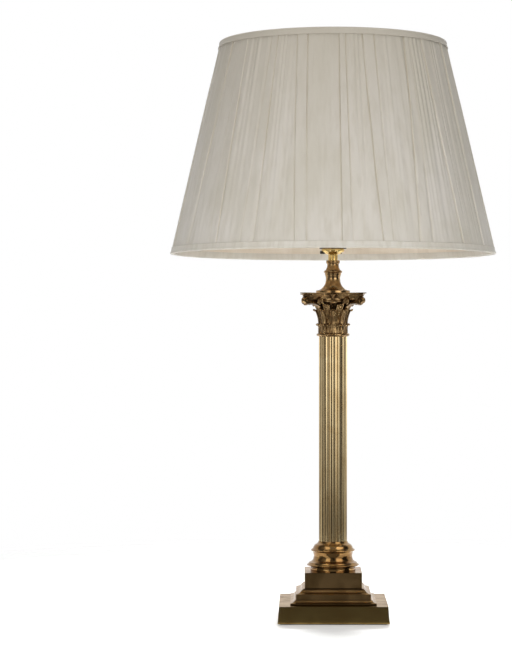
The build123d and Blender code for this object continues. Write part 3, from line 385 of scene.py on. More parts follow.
@dataclass
class Nodes:
    """A node tree and the kinds of node that the finishes are made with; each gives its output."""

    tree: bpy.types.NodeTree

    def place(self) -> Socket:
        """The point's place on the piece, in metres."""
        return add_node(self.tree, "ShaderNodeTexCoord").outputs["Object"]

    def noise(self, place: Socket, grain_mm: float, detail: float = 2.0, **more: float) -> Socket:
        """Noise with grains of a size in millimetres."""
        inputs = {"Vector": place, "Scale": 1000 / grain_mm, "Detail": detail, **more}
        return add_node(self.tree, "ShaderNodeTexNoise", inputs).outputs[0]

    def ramp(self, value: Socket, before: Point = (0.0, 1.0), after: Point = (0.0, 1.0)) -> Socket:
        """A value from one range taken over to another."""
        names = ("From Min", "From Max", "To Min", "To Max")
        inputs = {"Value": value, **dict(zip(names, (*before, *after)))}
        return add_node(self.tree, "ShaderNodeMapRange", inputs).outputs[0]

    def blend(self, share: Socket, first: Socket | str, second: Socket | str) -> Socket:
        """The second colour over the first by a share; either may be an sRGB hex colour."""
        first, second = (linear(colour) if isinstance(colour, str) else colour for colour in (first, second))
        inputs = {0: share, 6: first, 7: second}  # a colour mix node's sockets
        return add_node(self.tree, "ShaderNodeMix", inputs, data_type="RGBA").outputs[2]

    def math(self, operation: str, *values: Socket | float, clamp: bool = False) -> Socket:
        """Arithmetic on values."""
        inputs = dict(enumerate(values))
        return add_node(self.tree, "ShaderNodeMath", inputs, operation=operation, use_clamp=clamp).outputs[0]

    def vector(self, operation: str, *values: Socket | Sequence[float]) -> Socket:
        """Arithmetic on vectors; a length or a distance comes out as a number."""
        node = add_node(self.tree, "ShaderNodeVectorMath", dict(enumerate(values)), operation=operation)
        return node.outputs["Value" if operation in ("LENGTH", "DISTANCE") else 0]

    def along(self, place: Socket, axis: str = "Z") -> Socket:
        """One coordinate of a place."""
        return add_node(self.tree, "ShaderNodeSeparateXYZ", {"Vector": place}).outputs[axis]

    def sheltered(self, reach_mm: float, open_shut: Point, most: float) -> Socket:
        """How much a hollow is darkened, as painted shade and on the brass also as tarnish: from none where it's open
        up to the most where it's shut in.
        """
        inputs = {"Distance": reach_mm * MM}
        shelter = add_node(self.tree, "ShaderNodeAmbientOcclusion", inputs, samples=24, only_local=True)
        return self.ramp(shelter.outputs["AO"], open_shut, (0.0, most))

    def bump(self, height: Socket, strength: float, relief_mm: float, over: Socket | None = None) -> Socket:
        """The surface's direction over a relief, itself over another."""
        inputs = {"Height": height, "Strength": strength, "Distance": relief_mm * MM}
        return add_node(self.tree, "ShaderNodeBump", {**inputs, **({"Normal": over} if over else {})}).outputs[0]

    def seen(self, *rays: str) -> Socket:
        """1 for a ray of one of these kinds, such as Camera, and 0 for the others."""
        path = add_node(self.tree, "ShaderNodeLightPath")
        value = path.outputs[f"Is {rays[0]} Ray"]
        for ray in rays[1:]:
            value = self.math("MAXIMUM", value, path.outputs[f"Is {ray} Ray"])
        return value


def new_material(name: str) -> tuple[bpy.types.Material, Nodes]:
    """A material with its Principled shader, and its nodes."""
    made = bpy.data.materials.new(name)
    made.use_nodes = True
    return made, Nodes(made.node_tree)


@dataclass(frozen=True)
class Finish:
    """What a piece is made of and how its surface was worked."""

    name: str

    def material(self) -> bpy.types.Material:
        """The finish as a material, made once."""
        made = bpy.data.materials.get(self.name)
        if made is None:
            made, nodes = new_material(self.name)
            feed(nodes.tree, nodes.tree.nodes["Principled BSDF"], self.dress(nodes, nodes.place()))
        return made

    def dress(self, nodes: Nodes, place: Socket) -> dict:
        """The inputs of the finish's Principled shader.

        Args:
            nodes: The material's nodes.
            place: The point's place on the piece.

        Returns:
            Values and outputs by the name of the socket.
        """
        raise NotImplementedError


class Working(Enum):
    """How a brass piece was brought to its shine, and how that stretches the grain of the pattern."""

    TURNED = ("turned", (1.0, 1.0, 1.0))  # rings left by the lathe
    DRAWN = ("drawn", (1.0, 1.0, 0.004))  # lines along a drawn tube
    BUFFED = ("buffed", (0.04, 0.9, 1.0))  # short hairlines of a buffed casting
    CHASED = ("chased", (1.0, 1.0, 1.0))  # the soft grain of a chased casting


@dataclass(frozen=True)
class AgedBrass(Finish):
    """Polished brass that has gone dull in patches, dark with tarnish where a cloth doesn't reach and with painted
    shade in its hollows.

    The eye reads it by its tight warm reflections, which soften over the tarnish.
    """

    face: str = "a08450"
    tarnish: str = "6d5228"
    # dark tarnish and painted shade in the hollows
    hollow: str = "241705"
    shine: float = 0.13
    dullness: float = 0.24
    patch_mm: float = 22.0
    line_mm: float = 0.5  # real polishing lines are about 0.05 mm; drawn coarser, so that they show
    hollow_mm: float = 3.0
    hollow_share: float = 0.6
    edge: str = "ffffff"  # the tint of what it mirrors at a low angle
    working: Working = Working.BUFFED

    def lines(self, nodes: Nodes, place: Socket) -> Socket:
        """The marks of the work as a grey pattern; the lathe's depend on radius and height alone."""
        if self.working is Working.TURNED:
            radius = nodes.vector("LENGTH", nodes.vector("MULTIPLY", place, (1.0, 1.0, 0.0)))
            place = add_node(nodes.tree, "ShaderNodeCombineXYZ", {"X": radius, "Z": nodes.along(place)}).outputs[0]
        return nodes.noise(nodes.vector("MULTIPLY", place, self.working.value[1]), self.line_mm)

    def dress(self, nodes: Nodes, place: Socket) -> dict:
        """Tarnish patches, hollows darkened by tarnish and painted shade, uneven shine, faint dents and the polishing
        lines.
        """
        dull = nodes.ramp(nodes.noise(place, self.patch_mm, Roughness=0.45, Distortion=0.6), (0.38, 0.66))
        bare = nodes.blend(dull, self.face, self.tarnish)
        lines = self.lines(nodes, place)
        worn = nodes.math("MULTIPLY_ADD", lines, 0.35, dull)
        return {
            "Metallic": 1.0,
            "Specular Tint": linear(self.edge),
            # dark tarnish and painted shade in the hollows, by how shut in they are
            "Base Color": nodes.blend(
                nodes.sheltered(self.hollow_mm, (0.85, 0.25), self.hollow_share), bare, self.hollow
            ),
            "Roughness": nodes.ramp(worn, (0.0, 1.35), (self.shine, self.dullness)),
            "Normal": nodes.bump(lines, 0.3, 0.006, nodes.bump(nodes.noise(place, 9.0, 1.0), 0.2, 0.08)),
        }


@dataclass(frozen=True)
class PlatedSteel(Finish):
    """Rolled steel with a thin plating. The eye reads it as grey and evenly dull, clouded where it has dimmed."""

    face: str = "8d8b86"
    clouded: str = "6a6762"
    shine: float = 0.32
    cloud_mm: float = 7.0
    grain_mm: float = 0.4
    metallic: float = 1.0

    def dress(self, nodes: Nodes, place: Socket) -> dict:
        """Clouding in the colour and the shine, and a fine rolled grain."""
        clouds = nodes.noise(place, self.cloud_mm, 4.0)
        return {
            "Metallic": self.metallic,
            "Base Color": nodes.blend(clouds, self.face, self.clouded),
            "Roughness": nodes.ramp(clouds, after=(self.shine, self.shine + 0.2)),
            "Normal": nodes.bump(nodes.noise(place, self.grain_mm), 0.3, 0.03),
        }


@dataclass(frozen=True)
class Silk(Finish):
    """Plain-woven silk: a soft sheen over an uneven thread, with faint upright streaks of painted shade for its fine
    gathers.

    The eye reads it as cream cloth that has yellowed a little, with painted shade darker towards the top and in its
    creases, and a few tiny spots.
    """

    light: str = "d8d2c9"
    aged: str = "cdc7ba"
    painted_gather_shade: str = "c6bfb1"  # painted shade of the fine gathers, in faint upright streaks
    crease: str = "b6a98f"  # painted shade along the folds and in other creases
    painted_top_shade: str = "b9b1a2"  # painted shade, darker towards the top
    stain: str = "8a6a3c"
    top_shade_heights: Point = (480.0, 760.0)  # heights in millimetres between which the painted shade darkens it
    thread_mm: float = 0.9  # silk runs at about 0.15 mm a thread; drawn coarser, so that its unevenness shows
    spots: tuple[tuple[float, float, float], ...] = ()  # in millimetres
    spot_mm: float = 2.2

    def dress(self, nodes: Nodes, place: Socket) -> dict:
        """Warp and weft, yellowing, painted shade in upright gather streaks, towards the top and in the creases, and
        the tiny spots.
        """
        weft, warp, gather_shade_streaks, drift = (
            nodes.noise(nodes.vector("MULTIPLY", place, stretch), self.thread_mm, detail)
            for stretch, detail in (
                ((0.12, 0.12, 1.0), 2.0),
                ((1.0, 1.0, 0.03), 2.0),
                ((0.13, 0.13, 0.003), 2.0),
                ((0.02, 0.02, 0.006), 3.0),
            )
        )
        low, high = (z * MM for z in self.top_shade_heights)
        colour = nodes.blend(nodes.ramp(drift, (0.35, 0.65)), self.light, self.aged)
        # painted shade of the fine gathers, in faint upright streaks
        colour = nodes.blend(nodes.ramp(gather_shade_streaks, (0.45, 0.7), (0.0, 0.6)), colour, self.painted_gather_shade)
        # painted shade: darker towards the top
        colour = nodes.blend(nodes.ramp(nodes.along(place), (low, high)), colour, self.painted_top_shade)
        # painted shade in the creases, by how shut in they are
        colour = nodes.blend(nodes.sheltered(2.5, (0.88, 0.4), 0.6), colour, self.crease)
        for spot in self.spots:
            far = nodes.vector("DISTANCE", place, tuple(c * MM for c in spot))
            colour = nodes.blend(nodes.ramp(far, (self.spot_mm * MM, 0.0), (0.0, 0.75)), colour, self.stain)
        return {
            "Sheen Weight": 0.18,
            "Sheen Roughness": 0.4,
            "Specular IOR Level": 0.25,
            "Base Color": colour,
            "Roughness": nodes.ramp(warp, after=(0.5, 0.72)),
            "Normal": nodes.bump(nodes.math("ADD", weft, warp), 0.5, 0.08),
        }


@dataclass(frozen=True)
class Moulded(Finish):
    """A pressed, cast or glazed non-metal. The eye reads it by how much it shines and by its own grain."""

    face: str = "1a1512"
    mottle: str = "241d18"
    roughness: float = 0.4
    grain_mm: float = 2.0
    relief_mm: float = 0.01
    sheen: float = 0.0

    def dress(self, nodes: Nodes, place: Socket) -> dict:
        """The mottle, its shine and its relief."""
        grain = nodes.noise(place, self.grain_mm, 6.0, Roughness=0.7)
        return {
            "Sheen Weight": self.sheen,
            "Base Color": nodes.blend(grain, self.face, self.mottle),
            "Roughness": nodes.ramp(grain, after=(self.roughness - 0.08, self.roughness + 0.08)),
            "Normal": nodes.bump(grain, 0.6, self.relief_mm),
        }


# the castings: brown and broad in their shine, with a copper tint along the low angles
PLINTH_BRASS = AgedBrass("aged_brass_plinth", "98804e", "80683c", edge="f5e8da", shine=0.18, dullness=0.28)
MOULDING_BRASS = AgedBrass("aged_brass_moulding", "957850", "785e3a", edge="f5e8da", shine=0.12, dullness=0.2)
CAPITAL_BRASS = AgedBrass(
    "aged_brass_capital", "9c8058", "806442", "2e190a", 0.24, 0.36, 9.0, 2.0, 4.0, 0.55, working=Working.CHASED
)
# the turned pieces: tight highlights between dark lines, with painted shade and tarnish deep in the grooves
TURNED_BRASS = AgedBrass(
    "aged_brass_turned", "9e7d4e", "826039", "241204", 0.1, 0.18,
    hollow_mm=4.0, hollow_share=0.85, working=Working.TURNED
)
STEM_BRASS = AgedBrass("aged_brass_stem", "b8996c", "947248", "3a2008", working=Working.TURNED)
# the drawn shaft: the palest and brightest, mirroring the room in upright streaks
SHAFT_BRASS = AgedBrass(
    "aged_brass_shaft", "d4bd90", "c6ac7e", shine=0.08, dullness=0.13,
    line_mm=1.6, hollow_share=0.2, working=Working.DRAWN,
)
# the lampholder: newer, yellow and lacquered
HOLDER_BRASS = AgedBrass("lacquered_brass_holder", "ecd08c", "d9b66c", shine=0.1, dullness=0.18, working=Working.TURNED)
ZINC_STEEL = PlatedSteel("zinc_plated_steel")  # grey with a dull shine
CARRIER_STEEL = PlatedSteel("bronzed_steel_carrier", "3a3128", "241d16", 0.35)  # nearly black
FRAME_STEEL = PlatedSteel("enamelled_frame_wire", "dcd8cf", "cbc5b8", 0.3, metallic=0.0)  # off-white
CONTACT = PlatedSteel("tinned_contact", "b6b5b0", "98968f")  # pale grey and soft
CAST_IRON = Moulded("cast_iron_ballast", "2b2a29", "3b3937", 0.7, relief_mm=0.2)  # rough from the sand
BAKELITE = Moulded("bakelite_switch", "1c120c", "2c1c12", 0.3)  # brown-black with a soft shine
PORCELAIN = Moulded("glazed_porcelain", "dedbd2", "d2cec3", 0.2)  # off-white with a glassy shine
OPAL = Moulded("opal_glass_globe", "eceae3", "e4e1d8", 0.3)  # milky white and smooth
BULB_BODY = Moulded("moulded_bulb_body", "e3e2dd", "dbdad4", 0.42)  # white with a satin shine
FELT = Moulded("wool_felt_pad", "27382b", "1c2a20", 0.9, 0.8, 0.3, 0.3)  # green, without any shine
# cream with three tiny brown spots
COVER_SILK = Silk("pleated_silk", spots=((74.0, -162.0, 508.0), (-30.0, -170.0, 540.0), (-72.0, -162.0, 520.0)))
# warmer and more even, as it lies out of the dust
LINING_SILK = Silk("silk_lining", "eadfcf", "e2d5c2", "dccfbb", painted_top_shade="ddd0bc")
# the cover's own silk, a little greyer and finer
BINDING_SILK = Silk("silk_binding", "d8d3c8", "d0c9bc", "c8c1b2", thread_mm=0.7)


def dress_nodes(finish: Finish, ease_mm: float, *nodes: str) -> None:
    """Gives CAD nodes their finish and eases their hard edges with a modifier; the meshes stay as they are.

    Args:
        finish: What they are made of.
        ease_mm: The width of an eased edge; 0 leaves the edges as they are.
        nodes: The nodes' names.
    """
    for node in nodes:
        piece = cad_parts[node]
        piece.data.materials.clear()
        piece.data.materials.append(finish.material())
        piece.modifiers.new("weld", "WELD").merge_threshold = 2e-6
        if ease_mm:
            bevel = piece.modifiers.new("eased_edges", "BEVEL")
            bevel.width = ease_mm * MM
            bevel.segments = 2
            bevel.limit_method = "ANGLE"
            bevel.angle_limit = radians(35)
            bevel.harden_normals = False
        LOG.info("%s: kept, %s", node, finish.name)


# ---------------------------------------------------------------- studio


@dataclass
class Softbox:
    """A large diffused lamp; the metal mirrors the room's lit screens in its place."""

    name: str
    bearing: float  # degrees from the front, to the right
    distance: float  # metres from the lamp
    height: float
    size: tuple[float, float]
    radiance: float  # as bright as white paper lit to 1.0, times this
    aim_height: float = 0.36
    spread: float = 180.0  # degrees; a honeycomb grid narrows it

    def build(self) -> None:
        """Hangs the lamp, facing the object."""
        data = bpy.data.lights.new(self.name, "AREA")
        data.shape = "RECTANGLE"
        data.size, data.size_y = self.size
        data.spread = radians(self.spread)
        data.energy = self.radiance * pi * self.size[0] * self.size[1]
        lamp = linked(self.name, data)
        turn = radians(self.bearing)
        lamp.location = (self.distance * sin(turn), -self.distance * cos(turn), self.height)
        aim = Vector((0.0, 0.0, self.aim_height)) - lamp.location
        lamp.rotation_euler = aim.to_track_quat("-Z", "Y").to_euler()
        lamp.visible_glossy = False


@dataclass
class Studio:
    """Plain pale floor, white surroundings, soft lamps, a room for the metal to mirror, and the camera."""

    focal_px: float = 2100.0
    image_px: float = 659.0
    sensor_mm: float = 36.0
    camera_at: tuple[float, float, float] = (-0.036, -2.619, 0.3486)
    shift: tuple[float, float] = (-0.073, 0.0129)
    ambient: float = 0.4
    floor_reach: float = 1.0
    floor_fade: float = 0.8
    floor_lift: float = 0.17  # takes the lit paper up to white for the camera and the metal; the shadow stays
    room_radius: float = 1.6
    room_height: float = 0.2  # of the middle of its round
    cloth_spread: float = 0.2  # how much farther a cloth reaches sideways than towards the camera
    screen_span: Point = (-0.02, 0.4)  # heights between which a screen's brightness changes
    cloth_span: Point = (-0.95, -0.68)  # places on the Y axis between which a cloth's changes

    def camera(self) -> None:
        """Sets the camera at the photograph's height and distance, level."""
        data = bpy.data.cameras.new("camera")
        data.sensor_width = self.sensor_mm
        data.lens = self.focal_px / self.image_px * self.sensor_mm
        data.shift_x, data.shift_y = self.shift
        data.dof.use_dof = False
        eye = linked("camera", data)
        eye.location = self.camera_at
        eye.rotation_euler = (pi / 2, 0.0, 0.0)
        bpy.context.scene.camera = eye

    def world(self) -> None:
        """White where the camera and the metal look, and an even soft light on everything."""
        world = bpy.data.worlds.new("studio")
        world.use_nodes = True
        nodes = Nodes(world.node_tree)
        nodes.tree.nodes.clear()
        strength = nodes.ramp(nodes.seen("Camera", "Glossy", "Transmission"), after=(self.ambient, 1.0))
        glow = add_node(nodes.tree, "ShaderNodeBackground", {"Color": linear("ffffff"), "Strength": strength})
        add_node(nodes.tree, "ShaderNodeOutputWorld", {"Surface": glow.outputs[0]})
        bpy.context.scene.world = world

    def floor(self) -> None:
        """A round pale floor, seen from above, that keeps the shadow and fades into the white around it."""
        reach = self.floor_reach
        corners = [(-reach, -reach, 0), (reach, -reach, 0), (reach, reach, 0), (-reach, reach, 0)]
        floor = placed("floor", corners, [(0, 1, 2, 3)])
        paper, nodes = new_material("pale_paper_floor")
        place = nodes.place()
        fade = nodes.ramp(nodes.vector("LENGTH", place), (self.floor_fade, reach), (1.0, 0.0))
        below = add_node(nodes.tree, "ShaderNodeNewGeometry").outputs["Backfacing"]
        inputs = {
            "Specular IOR Level": 0.0,
            "Roughness": 1.0,
            "Base Color": nodes.blend(nodes.noise(place, 2.0), "fafafa", "f6f6f5"),
            "Emission Color": linear("ffffff"),
            "Emission Strength": nodes.math("MULTIPLY", nodes.seen("Camera", "Glossy"), self.floor_lift),
            "Alpha": nodes.math("SUBTRACT", fade, below, clamp=True),
        }
        feed(nodes.tree, nodes.tree.nodes["Principled BSDF"], inputs)
        floor.data.materials.append(paper)

    def screen(self, name: str, sideways: Point, upwards: Point, glow: Point) -> None:
        """A lit screen or a dim part of the room on the camera's side.

        Args:
            name: The screen's name.
            sideways: Its left and right edges, in degrees from the upright plane through the camera.
            upwards: Its lower and upper edges, in degrees over the horizon; past 90 it reaches behind the lamp.
            glow: How bright it looks low down and at the lamp's middle.
        """
        rows = []
        for pitch in map(radians, evenly(*upwards, 20)):
            row = []
            for turn in map(radians, evenly(*sideways, 20)):
                across, back, up = sin(turn), -cos(turn) * cos(pitch), cos(turn) * sin(pitch)
                far = self.room_radius
                row.append((far * across, far * back, far * up + self.room_height))
            rows.append(row)
        self.mirrored(name, rows, "Z", self.screen_span, glow)

    def cloth(self, name: str, bearings: Point, start: float, glow: Point) -> None:
        """A cloth that dims a sector of the paper around the lamp.

        Args:
            name: Its name.
            bearings: Its left and right edges, in degrees from the front.
            start: How far from the lamp's axis it begins, in metres.
            glow: How bright it looks far off and near the lamp.
        """
        turns = [radians(bearing) for bearing in evenly(*bearings, 16)]
        reaches = evenly(start, self.room_radius, 16)
        wider = self.cloth_spread
        rows = [[((reach + wider) * sin(t), -reach * cos(t), 0.002) for t in turns] for reach in reaches]
        self.mirrored(name, rows, "Y", self.cloth_span, glow)

    def mirrored(self, name: str, rows: Sequence[Sequence[tuple]], axis: str, span: Point, glow: Point) -> None:
        """A surface of the room that only the metal mirrors.

        Args:
            name: Its name.
            rows: Its points, row by row.
            axis: The axis along which its brightness changes.
            span: Where along the axis the change starts and ends, in metres.
            glow: How bright it looks at both.
        """
        wide = len(rows[0])
        corners = [i * wide + k for i in range(len(rows) - 1) for k in range(wide - 1)]
        faces = [(corner, corner + 1, corner + 1 + wide, corner + wide) for corner in corners]
        wall = placed(name, [point for row in rows for point in row], faces)
        cloth, nodes = new_material(name)
        nodes.tree.nodes.clear()
        strength = nodes.ramp(nodes.along(nodes.place(), axis), span, glow)
        shone = add_node(nodes.tree, "ShaderNodeEmission", {"Color": linear("ffffff"), "Strength": strength})
        add_node(nodes.tree, "ShaderNodeOutputMaterial", {"Surface": shone.outputs[0]})
        wall.data.materials.append(cloth)
        wall.visible_camera = wall.visible_diffuse = wall.visible_shadow = wall.visible_transmission = False

    def build(self) -> None:
        """Sets the whole studio up."""
        bpy.context.scene.view_settings.view_transform = "Standard"
        self.camera()
        self.world()
        self.floor()
        self.cloth("cloth_middle", (-17.0, 17.0), 0.08, (0.07, 0.26))
        self.cloth("cloth_left", (-90.0, -38.0), 0.12, (0.2, 0.2))
        self.cloth("cloth_right", (52.0, 90.0), 0.12, (0.04, 0.04))
        self.screen("dim_room_middle", (-17.0, 17.0), (-35.0, 34.0), (0.06, 0.05))
        self.screen("ceiling_middle", (-17.0, 17.0), (34.0, 130.0), (0.42, 0.42))
        self.screen("screen_left", (-40.0, -17.0), (-35.0, 75.0), (0.3, 2.0))
        self.screen("screen_far_left", (-64.0, -40.0), (-35.0, 75.0), (0.14, 0.3))
        self.screen("dim_room_left", (-90.0, -64.0), (-35.0, 130.0), (0.1, 0.12))
        self.screen("ceiling_left", (-64.0, -17.0), (75.0, 125.0), (0.16, 0.16))
        self.screen("screen_right", (17.0, 52.0), (-35.0, 75.0), (0.26, 2.6))
        self.screen("ceiling_right", (17.0, 52.0), (75.0, 125.0), (0.16, 0.16))
        self.screen("dim_room_right", (52.0, 90.0), (-60.0, 130.0), (0.03, 0.05))
        Softbox("softbox_key", -3.0, 2.1, 0.25, (1.5, 0.7), 5.9).build()
        Softbox("softbox_back", 180.0, 1.6, 1.1, (1.5, 0.5), 5.0).build()
        Softbox("softbox_low_back", 180.0, 1.5, 0.9, (2.8, 0.25), 2.4, aim_height=-0.02, spread=30.0).build()
        Softbox("softbox_overhead", 0.0, 0.1, 1.9, (1.6, 1.6), 1.0).build()


# ---------------------------------------------------------------- plinth


@dataclass
class Plinth:
    """Canted slab, stepped moulding and die, with the steel, iron and felt under them."""

    body: str = "base"
    moulding_foot: float = 21.7
    fillet_half: float = 52.95
    band_half: float = 46.15
    top_half: float = 37.5
    die_half: float = 35.35
    die_foot: float = 40.3
    die_top: float = 59.5
    hole: float = 5.25
    wall: float = 3.5

    def moulding(self) -> None:
        """Fillet, hollowed cyma, upright band and cove, mitred at the corners."""
        fillet, band, top, inner = self.fillet_half, self.band_half, self.top_half, self.die_half - self.wall
        outline = profile(
            *((self.hole, 15.1), (inner, 15.1), (inner, 0.0), (fillet, 0.0), (fillet, 2.3), (fillet - 1.2, 2.5)),
            *((band + 1.4, 5.4, -0.7), (band, 5.7), (band, 11.9), (band - 0.7, 12.8, 0.25)),
            *((top + 1.3, 17.3, -1.1), (top, 17.5), (top, 18.6), (self.hole, 18.6)),
            z=self.moulding_foot,
            soft=0.45,
        )
        squared(outline, 0.5).build(
            "stepped_moulding_cast", MOULDING_BRASS, self.body, "moulding_brass", ["stepped_moulding"]
        )

    def die(self) -> None:
        """Square die under the column."""
        inner, foot, top = self.die_half - self.wall, self.die_foot, self.die_top
        outline = profile(
            *((self.hole, top - self.wall), (inner, top - self.wall), (inner, foot)),
            *((self.die_half, foot), (self.die_half, top), (self.hole, top)),
            soft=0.5,
        )
        squared(outline, 0.6).build("pedestal_die", MOULDING_BRASS, self.body, "pedestal_brass", ["pedestal_block"])

    def build(self) -> None:
        """Makes the tiers and dresses what stays of the CAD."""
        self.moulding()
        self.die()
        dress_nodes(PLINTH_BRASS, 0.5, "plinth")
        dress_nodes(BAKELITE, 0.2, "cord_bush")
        dress_nodes(FELT, 0.0, "felt_pad")
        dress_nodes(CAST_IRON, 0.0, "ballast_weight")
        dress_nodes(ZINC_STEEL, 0.0, "base_plate", "base_screws", "tie_rod", "bottom_washer", "bottom_nut")


# ---------------------------------------------------------------- column


@dataclass
class Column:
    """Turned Attic base and fluted shaft."""

    body: str = "base"
    base_foot: float = 59.5
    base_top: float = 95.5
    shaft_top: float = 350.5
    shaft_r: float = 17.7
    bore_r: float = 13.9
    spigot_r: float = 13.75
    spigot_bore: float = 11.55
    spigot_rise: float = 5.0
    flutes: int = 16
    flute_depth: float = 1.8
    land: float = 1.5
    flute_steps: int = 11
    bay: float = 31.8  # between the rings of points up the shaft

    def turned_base(self) -> None:
        """Disc, lower torus, scotia, upper torus and necking, each with the crisp edge that the lathe leaves."""
        top = self.base_top - self.base_foot
        outline = profile(
            *((self.spigot_bore, 0.0), (28.1, 0.0), (28.1, 3.0), (27.0, 3.3, 0.2), (27.0, 4.4), (28.6, 4.7)),
            *((31.9, 6.1, -0.3), (32.5, 6.7, 0.1), (32.4, 7.4, 0.1), (29.6, 10.2, -0.3)),
            *((25.9, 12.3, -0.3), (25.3, 12.6, 0.1), (25.0, 13.4, 0.1), (24.8, 21.6, -0.8), (25.0, 22.6)),
            *((26.9, 24.3, -0.3), (27.3, 25.0, 0.1), (27.2, 25.8, 0.1), (24.6, 28.4, -0.25), (24.3, 29.2)),
            *((19.9, 33.4, 0.7), (19.6, 33.9), (18.4, top, -0.4), (self.spigot_r, top)),
            *((self.spigot_r, top + self.spigot_rise), (self.spigot_bore, top + self.spigot_rise)),
            z=self.base_foot,
            soft=0.25,
        )
        turned(outline).build("turned_column_base", TURNED_BRASS, self.body, "column_brass", ["column_base"], sharp=40)

    def fluted_ring(self, z: float, ease: float) -> list[Vector]:
        """The shaft's fluted outline.

        Args:
            z: The height.
            ease: How far it is drawn in, for the eased edges at the ends.

        Returns:
            The outline's points.
        """
        pitch = tau / self.flutes
        half = (pitch - self.land / self.shaft_r) / 2
        chord = self.shaft_r * sin(half)
        sagitta = self.flute_depth - self.shaft_r * (1 - cos(half))
        cutter = (chord**2 + sagitta**2) / (2 * sagitta)
        centre = self.shaft_r - self.flute_depth + cutter
        ring = []
        for flute in range(self.flutes):
            middle = pitch * flute
            for step in range(self.flute_steps):
                turn = half * (2 * step / (self.flute_steps - 1) - 1)
                # the cutter's near side along the ray at this turn
                radius = centre * cos(turn) - sqrt(max(0.0, cutter**2 - (centre * sin(turn)) ** 2))
                ring.append(at(min(radius, self.shaft_r) - ease, middle + turn, z))
            ring.append(at(self.shaft_r + 0.02 - ease, middle + pitch / 2, z))
        return ring

    def shaft(self) -> None:
        """Tube with a hollow flute between narrow lands."""
        low, high, ease = self.base_top, self.shaft_top, 0.25
        heights = [(low, ease), (low + 0.3, 0.0)]
        heights += [(low + 0.3 + self.bay * i, 0.0) for i in range(1, 8)]
        heights += [(high - 0.3, 0.0), (high, ease)]
        rings = [self.fluted_ring(z, inset) for z, inset in heights]
        rings += [[at(self.bore_r, turn, z) for turn in full_turn(len(rings[0]))] for z in (high, low)]
        Form().skin(rings, closed=True).build(
            "fluted_shaft", SHAFT_BRASS, self.body, "column_brass", ["column_shaft"], sharp=30
        )

    def build(self) -> None:
        """Makes both pieces."""
        self.turned_base()
        self.shaft()


# ---------------------------------------------------------------- capital


@dataclass
class Leaf:
    """A chased leaf that stands against the bell and rolls over at its tip."""

    foot: float
    tip: float
    root_r: float
    reach_r: float
    width: float
    lean: float = 0.5  # share of the height where it starts to lean out
    foot_width: float = 0.7  # share of its full width at the foot
    point: float = 0.6  # share of the height where it starts to narrow
    blunt: float = 0.2  # share of its full width at the tip
    lobes: int = 0  # notches along each edge
    ribs: float = 1.0  # ribs on each side of the middle one
    relief: float = 0.55
    thickness: float = 1.2
    rows: int = 36
    columns: int = 17
    straight: float = 0.8  # share of its length below the roll
    full_roll: float = 2.5  # how far the tip rolls over, in radians

    def spine(self, share: float) -> tuple[float, float, float]:
        """The leaf's middle line.

        Args:
            share: How far along its length, from 0 to 1.

        Returns:
            Its distance from the axis, its height and how far it has rolled, in radians.
        """
        rise = self.tip - self.foot
        out = self.reach_r - self.root_r
        roll_r = min(1.6, rise * 0.12)
        if share < self.straight:
            up = share / self.straight
            lean = max(0.0, (up - self.lean) / (1 - self.lean))
            return self.root_r + (out - roll_r) * lean**1.8, self.foot + (rise - roll_r) * up, 0.0
        turn = (share - self.straight) / (1 - self.straight) * self.full_roll
        return self.reach_r - roll_r * cos(turn), self.tip - roll_r + roll_r * sin(turn), turn

    def half_width(self, share: float) -> float:
        """Half the leaf's width at a share of its length."""
        body = self.foot_width + (1 - self.foot_width) * eased_step(share / 0.45)
        narrowing = max(0.0, (share - self.point) / (1 - self.point))
        body *= self.blunt + (1 - self.blunt) * sqrt(max(0.0, 1 - narrowing**1.7))
        notch = abs(sin(pi * (self.lobes * share + 0.15))) if self.lobes else 1.0
        return self.width / 2 * body * (0.82 + 0.18 * sqrt(notch))

    def form(self) -> Form:
        """The leaf at the front, as a closed solid with its ribs and raised edges."""
        rings = []
        curve = self.root_r + 1.0  # the leaf follows the bell's round
        for row in range(self.rows):
            share = row / (self.rows - 1)
            out, up, roll = self.spine(share)
            half, rolled = self.half_width(share), roll / self.full_roll
            thick = self.thickness * (1 + 0.9 * share)
            front, back = [], []
            for column in range(self.columns):
                across = 2 * column / (self.columns - 1) - 1
                rib = cos(tau * across * (self.ribs + 0.5))
                rim = eased_step((abs(across) - 0.7) / 0.2)
                lift = self.relief * (rib * (1 - rim) + rim) * (1 - 0.7 * rolled)
                side = sin(across * half / curve) * curve
                radius = out + lift - side**2 / (2 * curve)
                z = up - 1.4 * across**2 * rolled
                front.append(Vector((side, -radius, z)))
                back.append(Vector((side, -(radius - thick), z - 0.25 * thick * roll)))
            rings.append(front + back[::-1])
        return Form().skin(rings)


